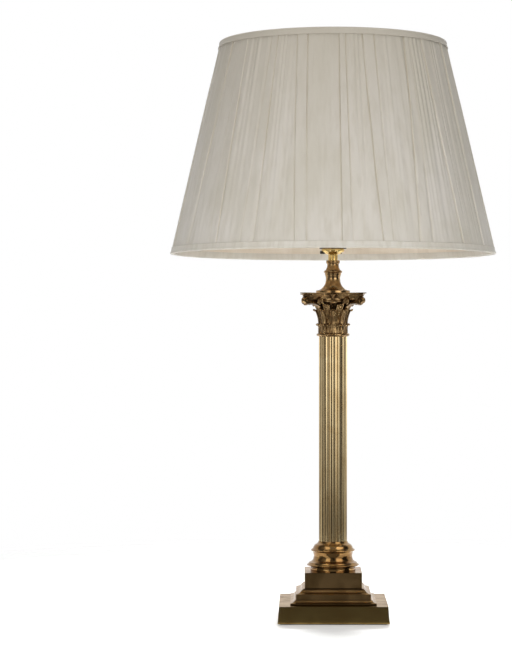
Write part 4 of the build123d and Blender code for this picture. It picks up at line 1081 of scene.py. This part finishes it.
@dataclass
class Capital:
    """Corinthian capital: astragal, bell, two rows of acanthus, stalks, scrolls, flowers and abacus."""

    foot: float = 350.5
    bell_r: float = 16.8
    bore_r: float = 11.55
    spigot_r: float = 13.75
    lip_r: float = 25.0
    abacus_z: float = 46.5
    half: float = 40.8
    waist: float = 27.0
    horn: float = 5.0
    scroll_reach: float = 48.8
    scroll_z: float = 44.2
    scroll_r: float = 4.5
    helix_x: float = 15.8
    helix_reach: float = 29.2
    helix_z: float = 43.8
    flower_reach: float = 27.6
    flower_z: float = 43.4

    def piece(self, name: str, form: Form, replaces: Sequence[str] = (), sharp: float = 50.0) -> None:
        """Builds one part of the casting."""
        form.build(name, CAPITAL_BRASS, "base", "capital_brass", replaces, sharp)

    def bell(self) -> None:
        """Bell with its rounded astragal, hollow inside."""
        lip, roof = self.lip_r, self.abacus_z + 1
        outline = profile(
            *((self.bore_r, -5.0), (self.spigot_r, -5.0), (self.spigot_r, 0.0), (18.6, 0.0), (18.9, 0.5)),
            *((18.9, 4.0, 1.75), (17.8, 4.3), (self.bell_r + 0.3, 5.0), (self.bell_r, 22.0)),
            *((lip - 1.2, 42.2, -3.2), (lip, 43.4, 0.4), (lip - 0.6, 45.0, 0.3)),
            *((lip - 0.6, roof), (self.bore_r, roof)),
            z=self.foot,
            soft=0.15,
        )
        self.piece("capital_bell", turned(outline), ["capital"], 40)

    def leaves(self) -> None:
        """Eight lower leaves, and eight upper ones over the gaps."""
        foot, root = self.foot + 4.2, self.bell_r + 1.0
        lower = Leaf(foot, self.foot + 16.4, root + 0.1, 20.8, 13.6, lean=0.6, point=0.75, blunt=0.55, lobes=3)
        upper = Leaf(foot, self.foot + 34.4, root, 23.6, 10.4, 0.45, 0.9, 0.42, 0.1, ribs=0.0, relief=0.8)
        self.piece("capital_lower_leaves", lower.form().around(8, 22.5), sharp=70)
        self.piece("capital_upper_leaves", upper.form().around(8), sharp=70)

    def stalks(self) -> None:
        """Ribbed sheaths that rise between the tall leaves, and the stem of a small scroll out of each."""
        z = self.foot
        sheath = Leaf(z + 12.0, z + 40.5, self.bell_r + 0.2, 25.4, 9.0, 0.3, 0.35, 0.85, 0.7, ribs=2.0, relief=0.4)
        self.piece("capital_sheaths", sheath.form().around(8, 22.5), sharp=70)
        inner = []
        for share in evenly(0.0, 1.0, 9):
            gone = eased_step(share)
            inner.append(at(20.4 + 8.8 * gone**1.3, radians(22.5 + 5.6 * gone), z + 33.5 + 9.5 * share**0.8))
        stem = tube(inner, [1.6 - 0.4 * i / 9 for i in range(10)], sides=8)
        other = Form([Vector((-p.x, p.y, p.z)) for p in stem.points], [face[::-1] for face in stem.faces])
        self.piece("capital_stalks", stem.add(other).around(4))

    def spiral(self, radius: float, turns: float, steps: int, start: float = 0.25) -> list[Point]:
        """A shrinking scroll about (0, 0).

        Args:
            radius: Its first radius.
            turns: How many turns it makes, clockwise.
            steps: How many points after the first.
            start: Where it begins, in whole turns from the outward side.

        Returns:
            The points.
        """
        points = []
        for share in evenly(0.0, 1.0, steps):
            size = radius * (1 - 0.84 * share**0.85)
            turn = tau * (start - turns * share)
            points.append((size * cos(turn), size * sin(turn)))
        return points

    def volutes(self) -> None:
        """Four corner scrolls on their stems, with a web behind the coil and a boss at its eye."""
        cx, cz, radius = self.scroll_reach, self.foot + self.scroll_z, self.scroll_r
        roof, foot = self.foot + self.abacus_z + 0.4, (18.6, cz - radius - 12.0)
        path = [(cx - 15.0 + 15.0 * i / 6, cz + radius - 0.55) for i in range(6)]
        path += [(cx + x, cz + y) for x, y in self.spiral(radius - 0.55, 2.2, 54)]
        volute = strap(path, [6.4 - 0.6 * i / len(path) for i in range(len(path))], 1.15)
        knee = (cx - 13.5, cz - radius + 0.9)
        under = [foot, *bowed(foot, knee, -3.4, 10), *bowed(knee, (cx - 0.4, cz - radius + 0.35), -0.5, 5)]
        volute.add(strap(under, [3.4 + 3.0 * eased_step(s * 1.4) for s in evenly(0.0, 1.0, len(under) - 1)], 1.5))
        web = [(out, up + 0.3) for out, up in under]
        web += [(cx + radius * 0.8 * cos(t), cz + radius * 0.8 * sin(t)) for t in (-1.1, -0.6, 0.0, 0.6, 1.1)]
        web += [(cx, roof), (18.6, roof)]
        volute.add(Form().skin([[Vector((side, -out, up)) for out, up in web] for side in (-1.7, 1.7)]))
        boss = ((1.35, 2.2), (1.3, 3.2), (1.0, 3.6), (0.45, 3.85), (0.0, 3.9))
        for side in (-1, 1):
            volute.add(stacked(boss, 12, lambda x, y, out: Vector((side * out, -(cx - 0.3 + x), cz + 0.2 + y))))
        self.piece("capital_volutes", volute.around(4, 45))

    def helices(self) -> None:
        """The pair of smaller scrolls under each hollowed side, facing outwards, each over a round plate."""
        z, reach = self.foot + self.helix_z, self.helix_reach
        eye = ((1.0, 0.0), (1.0, 0.9), (0.6, 1.3), (0.0, 1.4))
        plate = ((3.3, -9.0), (3.45, -0.4), (3.1, 0.0), (0.0, 0.05))
        pair = Form()
        for side in (-1, 1):
            coil = self.spiral(3.4, 1.7, 34, start=-0.25)
            path = [Vector((side * (self.helix_x - x), -reach, z + y)) for x, y in coil]
            pair.add(tube(path, [1.05 - 0.3 * i / len(path) for i in range(len(path))], sides=8))
            for shape, sides in ((eye, 10), (plate, 20)):
                pair.add(
                    stacked(shape, sides, lambda x, y, out: Vector((side * self.helix_x + x, -(reach + out), z + y)))
                )
        self.piece("capital_helices", pair.around(4))

    def flowers(self) -> None:
        """The flower on each side: a beaded knop under a fluted trumpet."""
        # (height, radius, depth of the flutes as a share of it)
        knop = ((-3.0, 0.4, 0.0), (-2.5, 2.4, 0.1), (-1.2, 4.1, 0.18), (0.3, 4.5, 0.22), (1.6, 3.4, 0.15))
        trumpet = ((2.2, 1.9, 0.0), (3.4, 1.8, 0.05), (6.0, 2.7, 0.16), (8.0, 3.9, 0.22), (8.8, 4.4, 0.22))
        rings = []
        for up, size, ripple in knop + trumpet:
            ring = []
            for turn in full_turn(40):
                radius = size * (1 + ripple * (abs(cos(2.5 * turn)) - 0.5))
                centre_y = -self.flower_reach
                ring.append(Vector((radius * cos(turn), centre_y + radius * sin(turn), self.foot + self.flower_z + up)))
            rings.append(ring)
        self.piece("capital_flowers", Form().skin(rings).around(4), sharp=60)

    def abacus_ring(self, inset: float, dip: float, z: float) -> list[Vector]:
        """The abacus's outline at a height: hollowed sides between blunt horns.

        Args:
            inset: How far it lies inside the lip at the horns.
            dip: How far it lies inside the lip at the middle of a side.
            z: The height.

        Returns:
            The outline's points.
        """
        half, waist = self.half - inset, self.waist - dip
        tip = half - self.horn
        sag = half - waist
        radius = (tip * tip + sag * sag) / (2 * sag)
        swing = asin(tip / radius)
        steps = 20
        side = []
        for i in range(steps + 1):
            turn = swing * (2 * i / steps - 1)
            side.append(Vector((radius * sin(turn), -(waist + radius * (1 - cos(turn))), z)))
        side += [Vector((tip + self.horn * share, -half + self.horn * share, z)) for share in (0.33, 0.67)]
        return [Matrix.Rotation(tau / 4 * quarter, 4, "Z") @ point for quarter in range(4) for point in side]

    def abacus(self) -> None:
        """Cavetto, fillet, slab and thin projecting lip."""
        # (inset at the horns, inset at the middle of a side, height)
        cavetto = ((9.0, 6.0, 45.6), (6.2, 4.4, 46.2), (5.4, 3.8, 46.8), (4.6, 3.0, 48.3), (3.5, 2.2, 49.5))
        slab = ((3.0, 1.6, 49.8), (3.0, 1.6, 50.4), (3.7, 2.2, 50.8), (3.6, 2.0, 51.5), (2.9, 1.2, 52.4))
        lip = ((1.6, 0.7, 52.9), (0.25, 0.15, 53.05), (0.0, 0.0, 53.25), (0.0, 0.0, 53.9), (0.25, 0.25, 54.1))
        rings = [self.abacus_ring(inset, dip, self.foot + up) for inset, dip, up in cavetto + slab + lip]
        self.piece("capital_abacus", Form().skin(rings), sharp=32)

    def build(self) -> None:
        """Makes the whole capital."""
        for part in (self.bell, self.leaves, self.stalks, self.volutes, self.helices, self.flowers, self.abacus):
            part()


# ---------------------------------------------------------------- lampholder and stem


@dataclass
class Lampholder:
    """Vase stem, collar and the bayonet lampholder with its push bar."""

    body: str = "base"
    stem_foot: float = 404.6
    stem_rise: float = 38.3
    rod_r: float = 5.25
    thread_r: float = 5.05
    neck_r: float = 5.9
    neck_foot: float = 445.3
    neck_top: float = 452.9
    rim: float = 457.4
    top: float = 459.9
    cap_r: float = 14.3
    skirt_r: float = 13.4
    bar_z: float = 455.35
    bar_hole: float = 2.13

    def stem(self) -> None:
        """Turned stem: thin foot, hollow bell, neck, sharp ring, taper, waist and flare."""
        outline = profile(
            *((self.rod_r, 0.0), (21.3, 0.0), (21.3, 2.6), (20.6, 3.3, 0.15), (17.9, 3.6), (9.1, 16.6, -2.4)),
            *((9.0, 18.4), (10.1, 22.8, -0.2), (10.3, 24.6), (11.2, 25.6, -0.1), (11.3, 27.0, 0.35)),
            *((10.4, 28.2), (8.9, 29.0, -0.15), (8.2, 30.6), (7.3, 34.2, -0.2), (7.3, 35.2)),
            *((7.8, 36.8, -0.15), (8.5, 37.3), (8.5, self.stem_rise), (self.rod_r, self.stem_rise)),
            z=self.stem_foot,
            soft=0.22,
        )
        turned(outline, 72).build("turned_vase_stem", STEM_BRASS, self.body, "stem_brass", ["vase_stem"], sharp=40)

    def collar(self) -> None:
        """Screwed collar with a rounded edge."""
        outline = profile(
            *((self.thread_r, 0.0), (8.1, 0.0), (8.6, 0.7, 0.15), (8.6, 1.7), (8.1, 2.4, 0.15), (self.thread_r, 2.4)),
            z=self.stem_foot + self.stem_rise,
        )
        turned(outline, 64).build("turned_collar", STEM_BRASS, self.body, "stem_brass", ["locking_collar"])

    def cap(self) -> None:
        """Spun cap: neck with a bead, swelling dome, rim with a rolled bead, and a hole each side for the bar."""
        neck, rim, top = self.neck_top, self.rim, self.top
        outline = profile(
            *((self.thread_r, self.neck_foot), (self.neck_r, self.neck_foot), (self.neck_r, neck - 1.2)),
            *((6.5, neck - 0.4, -0.2), (11.6, neck + 2.2, 0.5), (13.9, rim - 0.7, 0.45), (self.cap_r, rim + 0.2, 0.1)),
            *((self.cap_r, top - 0.2), (self.skirt_r, top), (self.skirt_r, rim + 0.3), (10.6, neck + 2.6, -0.5)),
            *((self.neck_r, neck + 0.9, -0.2), (self.thread_r, neck + 0.9)),
            soft=0.15,
        )
        form = turned(outline, 80)
        cap = form.build("spun_holder_cap", HOLDER_BRASS, self.body, "holder_brass", ["holder_cap"], sharp=45)
        bar = tube([Vector((-20, 0, self.bar_z)), Vector((20, 0, self.bar_z))], self.bar_hole, sides=24)
        cutter = placed("bar_hole_cutter", [p * MM for p in bar.points], bar.faces)
        drill = cap.modifiers.new("bar_holes", "BOOLEAN")
        drill.operation, drill.solver, drill.object = "DIFFERENCE", "EXACT", cutter
        bpy.context.view_layer.update()
        drilled = bpy.data.meshes.new_from_object(cap.evaluated_get(bpy.context.evaluated_depsgraph_get()))
        cap.modifiers.clear()
        cap.data = drilled
        bpy.data.objects.remove(cutter)
        LOG.info("spun_holder_cap drilled for the bar, %d faces", len(drilled.polygons))

    def build(self) -> None:
        """Makes the turned pieces and dresses the fittings that stay."""
        self.stem()
        self.collar()
        self.cap()
        dress_nodes(HOLDER_BRASS, 0.1, "holder_skirt", "shade_ring", "contact_plungers", "terminal_screws")
        dress_nodes(PORCELAIN, 0.0, "holder_insulator")
        dress_nodes(BAKELITE, 0.0, "switch_bar")
        dress_nodes(BAKELITE, 0.25, "switch_tip_left", "switch_tip_right")


# ---------------------------------------------------------------- bulb


@dataclass
class Bulb:
    """Opal bulb in its bayonet cap."""

    body: str = "bulb"
    cap_top: float = 499.9
    housing_top: float = 537.9
    seat_r: float = 10.45
    shoulder_r: float = 13.5
    globe_r: float = 30.0
    globe_rise: float = 13.0

    def build(self) -> None:
        """Makes the globe and its body and dresses the cap."""
        seat, shoulder, globe = self.seat_r, self.shoulder_r, self.globe_r
        mouth = sqrt(globe**2 - self.globe_rise**2)
        z, top = self.cap_top, self.housing_top
        outline = profile(
            *((0.0, z - 4), (seat, z - 4), (seat, z), (shoulder, z), (shoulder, z + 3.0)),
            *((mouth, top, -2.5), (0.0, top)),
            soft=0.5,
            loop=False,
        )
        housing = turned(outline, 64, solid=False)
        housing.build("moulded_bulb_housing", BULB_BODY, self.body, "bulb_white", ["bulb_housing"], sharp=40)
        centre = top + self.globe_rise
        arc = [(globe * cos(t), centre + globe * sin(t)) for t in evenly(-asin(self.globe_rise / globe), pi / 2, 26)]
        turned([(0.0, top), *arc[:-1], (0.0, centre + globe)], 64, solid=False).build(
            "opal_bulb_globe", OPAL, self.body, "bulb_opal", ["bulb_globe"], sharp=60
        )
        dress_nodes(HOLDER_BRASS, 0.1, "bulb_cap")
        dress_nodes(BAKELITE, 0.0, "bulb_base_disc")
        dress_nodes(CONTACT, 0.0, "bulb_contacts")


# ---------------------------------------------------------------- carrier


@dataclass
class Carrier:
    """Wire shade carrier: base ring with its tabs, two bent arms and the seat."""

    body: str = "carrier"
    slot: str = "carrier_steel"
    foot: float = 461.9
    foot_y: float = 22.5
    top_y: float = 47.7
    rise: float = 8.0
    knee: float = 48.0
    seat: float = 669.9
    wire_r: float = 1.5
    bend: float = 4.0  # how far from a corner its bend starts

    def arm_path(self, side: int) -> list[Vector]:
        """The centre line of an arm with its bends rounded.

        Args:
            side: -1 for the front arm, 1 for the back one.

        Returns:
            Its points.
        """
        corners = [
            Vector((self.foot_y, self.foot - 0.5)),
            Vector((self.foot_y, self.foot + self.rise)),
            Vector((self.top_y, self.foot + self.knee)),
            Vector((self.top_y, self.seat - 1.6)),
        ]
        path = [corners[0]]
        for before, corner, after in zip(corners, corners[1:], corners[2:]):
            back, forth = before - corner, after - corner
            reach = min(self.bend, back.length * 0.45, forth.length * 0.45)
            start, end = corner + back.normalized() * reach, corner + forth.normalized() * reach
            path += [start * (1 - s) ** 2 + corner * 2 * s * (1 - s) + end * s * s for s in evenly(0.0, 1.0, 6)]
        return [Vector((0.0, side * point.x, point.y)) for point in (*path, corners[-1])]

    def build(self) -> None:
        """Makes the arms and the seat and dresses the base ring."""
        for side, node in ((-1, "carrier_arm_front"), (1, "carrier_arm_back")):
            arm = tube(self.arm_path(side), self.wire_r, 14)
            arm.build(f"{node}_wire", CARRIER_STEEL, self.body, self.slot, [node])
        outline = profile(
            *((43.4, -1.5), (52.0, -1.5), (52.0, 0.0), (45.6, 0.0), (45.6, 5.0), (44.4, 5.0), (44.4, 0.0), (43.4, 0.0)),
            z=self.seat,
            soft=0.35,
        )
        turned(outline).build("pressed_seat_ring", CARRIER_STEEL, self.body, self.slot, ["carrier_seat_ring"])
        dress_nodes(CARRIER_STEEL, 0.25, "carrier_base_ring")


# ---------------------------------------------------------------- shade


@dataclass
class Shade:
    """Empire shade of hand-pleated silk on a lined wire frame, bound at both edges."""

    body: str = "shade"
    foot: float = 452.5
    top: float = 716.5
    foot_r: float = 203.0
    top_r: float = 141.4
    pleats: int = 22
    lift: float = 1.15  # a fold's edge above the panel beside it
    strip: float = 0.24  # share of a repeat that the fold's strip takes
    edge: float = 0.018  # share of a repeat that a step takes
    groove: float = 0.5  # how far the cloth dips beside a fold's edge, as a share of its lift
    cover_rows: int = 40
    cloth: float = 0.45
    hem: float = 1.0  # how far the cover and the lining stop inside the shade's edges
    band: float = 8.5  # depth of a binding
    frame_z: Point = (454.65, 714.35)
    frame_inset: float = 3.75
    wire_r: float = 1.2
    ring_wire_r: float = 1.25
    seat: float = 669.9
    lining_gap: float = 5.15  # how far the lining's outer face lies inside the cone
    lining_cloth: float = 0.4
    sink: float = 0.6  # how far the cover may dip under the level that its folds stand on
    rise: float = 0.35  # how far it may stand over a fold's full lift

    def radius(self, z: float, inset: float = 0.0) -> float:
        """Radius of the shade's cone at a height, less an inset."""
        return self.foot_r + (self.top_r - self.foot_r) * (z - self.foot) / (self.top - self.foot) - inset

    def share_up(self, z: float) -> float:
        """How far up the shade a height is, from 0 to 1."""
        return (z - self.foot) / (self.top - self.foot)

    def fold_turn(self, index: int, up: float) -> float:
        """Where a fold lies; each is a little uneven and leans a little.

        Args:
            index: Which fold.
            up: How far up the shade, from 0 to 1.

        Returns:
            Its angle from the front, in radians.
        """
        index %= self.pleats
        foot_off = 0.13 * sin(2.4 * index + 0.6) + 0.08 * sin(5.1 * index + 1)
        top_off = 0.16 * sin(3.1 * index + 2.2) + 0.07 * sin(4.3 * index)
        return tau / self.pleats * (index + foot_off * (1 - up) + top_off * up)

    def pleat(self, share: float) -> float:
        """How the cloth stands across one repeat.

        A crisp step leads up to the fold's strip and a lower one off it; then the panel falls slowly.

        Args:
            share: How far across the repeat, from 0 to 1.

        Returns:
            The cloth's height as a share of the lift; below 0 in the grooves beside a step.
        """
        edge, strip, groove = self.edge, self.strip, self.groove
        if share < edge:
            return -groove + (1 + groove) * share / edge
        if share < strip:
            return 1.0 - 0.15 * sin(pi * (share - edge) / (strip - edge))
        if share < strip + edge:
            return 1.0 - (1 + 0.6 * groove) * (share - strip) / edge
        if share < strip + 3 * edge:
            return -0.6 * groove + 0.8 * eased_step((share - strip - edge) / (2 * edge))
        if share < 1 - 2 * edge:
            return 0.5 - 0.3 * (share - strip) / (1 - strip)
        return 0.2 - (0.2 + groove) * (share - 1 + 2 * edge) / (2 * edge)

    def cover_ring(self, z: float, drop: float, shares: Sequence[float]) -> list[Vector]:
        """The cover at a height.

        Args:
            z: The height.
            drop: How far inside the outer face.
            shares: Where across a repeat its points lie.

        Returns:
            The points.
        """
        up = self.share_up(z)
        base = self.radius(z, 0.9 + self.lift)
        held = eased_step(min(up, 1 - up) * 12)
        ring = []
        for index in range(self.pleats):
            start = self.fold_turn(index, up)
            end = self.fold_turn(index + 1, up) + (tau if index == self.pleats - 1 else 0.0)
            for share in shares:
                turn = start + (end - start) * share
                # the cloth is gathered closer at the top, so its fine folds are deeper there
                gathers = 0.6 * waves(turn, 14, up * 0.9) + waves(turn, 52, up * 1.3 + 7) * (0.45 + 0.65 * up)
                slack = 0.3 * waves(turn, 3, up * 3 + 3) * held
                height = self.lift * self.pleat(share) + gathers * (0.6 + 0.4 * held) + slack
                ring.append(at(base + max(-self.sink, min(self.lift + self.rise, height)) - drop, turn, z))
        return ring

    def shell(
        self, name: str, rings: list[list[Vector]], finish: Finish, slot: str, node: str, sharp: float
    ) -> bpy.types.Object:
        """Builds a thin closed cloth from its rings, out and back again."""
        return Form().skin(rings, closed=True).build(name, finish, self.body, slot, [node], sharp=sharp)

    def cover(self) -> bpy.types.Object:
        """Pleated silk, one thin closed shell between the bindings."""
        heights = evenly(self.foot + self.hem, self.top - self.hem, self.cover_rows)
        strip, edge = self.strip, self.edge
        shares = [0.0, edge, 0.06, 0.12, 0.18, strip, strip + edge, strip + 0.036, strip + 0.054]
        shares += [strip + 0.054 + (1 - strip - 0.09) * i / 32 for i in range(1, 33)] + [0.982]
        rings = [self.cover_ring(z, 0.0, shares) for z in heights]
        rings += [self.cover_ring(z, self.cloth, shares) for z in reversed(heights)]
        return self.shell("pleated_silk_cover", rings, COVER_SILK, "cover_silk", "shade_cover", 55)

    def lining(self) -> bpy.types.Object:
        """Plain silk lining, stretched a little unevenly inside the frame."""
        heights = evenly(self.foot + self.hem, self.top - self.hem, 26)
        rings = []
        for drop, levels in ((self.lining_gap, heights), (self.lining_gap + self.lining_cloth, heights[::-1])):
            for z in levels:
                up = self.share_up(z)
                held = eased_step(min(up, 1 - up) * 9)
                ring = []
                for turn in full_turn(176):
                    slack = abs(0.5 * waves(turn, 7, up * 1.4 + 11) + cos(8 * turn) * 0.12) * held
                    ring.append(at(self.radius(z, drop) - slack, turn, z))
                rings.append(ring)
        return self.shell("plain_silk_lining", rings, LINING_SILK, "lining_silk", "shade_lining", 60)

    def binding(self, name: str, node: str, edge: float, upwards: int) -> bpy.types.Object:
        """Folded silk band over an edge, with a rounded roll along it and a turned hem at its mouth.

        Args:
            name: The piece's name.
            node: The CAD node that it replaces.
            edge: The height of the shade's edge.
            upwards: 1 where the band rises from the edge, -1 where it hangs from it.

        Returns:
            The band.
        """
        deep = self.band
        # (distance from the edge, distance inside the cone): round the edge, over the mouth and back outside
        inside = ((0.35, 0.9), (0.1, 2.4), (0.1, 4.6), (0.5, 6.1), (1.6, 6.5), (5.0, 6.45), (deep, 6.4))
        within = ((deep, 5.9), (1.4, 5.75), (0.9, 4.6), (0.9, 2.3), (1.2, 0.85), (deep, 0.8), (deep + 0.05, 0.4))
        outside = ((deep - 0.5, 0.0), (deep - 1.1, 0.3), (5.6, 0.42), (3.7, 0.4), (3.1, 0.5), (2.5, 0.1))
        roll = ((1.5, 0.0), (0.8, 0.2))
        rings = []
        for away, inset in inside + within + outside + roll:
            ring = []
            for turn in full_turn(220):
                pucker = 0.16 * waves(turn, 16, away * 0.4 + edge)
                shift = 0.35 * waves(turn, 4, edge) if away > 4 else 0.0
                z = edge + upwards * away
                ring.append(at(self.radius(z, inset + max(0.0, pucker)), turn, z + upwards * min(0.0, shift)))
            rings.append(ring)
        return self.shell(name, rings, BINDING_SILK, "binding_silk", node, 60)

    def frame(self) -> None:
        """Round enamelled wires of the frame and the recessed ring that sits on the carrier."""
        foot_z, top_z = self.frame_z
        foot_r, top_r = (self.radius(z, self.frame_inset) for z in self.frame_z)
        seat = self.seat
        band = profile((46.2, 0.0), (51.2, 0.0), (51.2, 2.5), (46.2, 2.5), z=seat, soft=0.6)
        rib = tube([Vector((0, -foot_r, foot_z)), Vector((0, -top_r, top_z))], self.wire_r)
        strut = tube([Vector((0, -49.2, seat + 1.4)), Vector((0, -self.radius(top_z, 4.4), top_z - 0.2))], self.wire_r)
        wire = self.ring_wire_r
        pieces = [
            (f"{node}_wire", turned([(r + wire * cos(t), z + wire * sin(t)) for t in full_turn(14)], 128), node)
            for node, r, z in (("frame_top_ring", top_r, top_z), ("frame_bottom_ring", foot_r, foot_z))
        ]
        pieces += [
            ("frame_rib_wires", rib.around(8, 112.5), "frame_ribs"),
            ("recessed_ring_band", turned(band), "duplex_ring"),
            ("recessed_ring_struts", strut.around(3, 180), "duplex_struts"),
        ]
        for name, form, node in pieces:
            form.build(name, FRAME_STEEL, self.body, "frame_steel", [node])

    def build(self) -> None:
        """Makes the shade's frame, cover, lining and bindings."""
        self.frame()
        cover = self.cover()
        lining = self.lining()
        top = self.binding("top_silk_binding", "top_binding", self.top, -1)
        foot = self.binding("foot_silk_binding", "bottom_binding", self.foot, 1)


def main() -> None:
    """Builds the studio and the lamp in order and reports each piece."""
    logging.basicConfig(level=logging.INFO, format="%(message)s")
    Studio().build()
    for part in (Plinth(), Column(), Capital(), Lampholder(), Bulb(), Carrier(), Shade()):
        part.build()
        LOG.info("%s finished", type(part).__name__.lower())


if __name__ == "__main__":
    main()
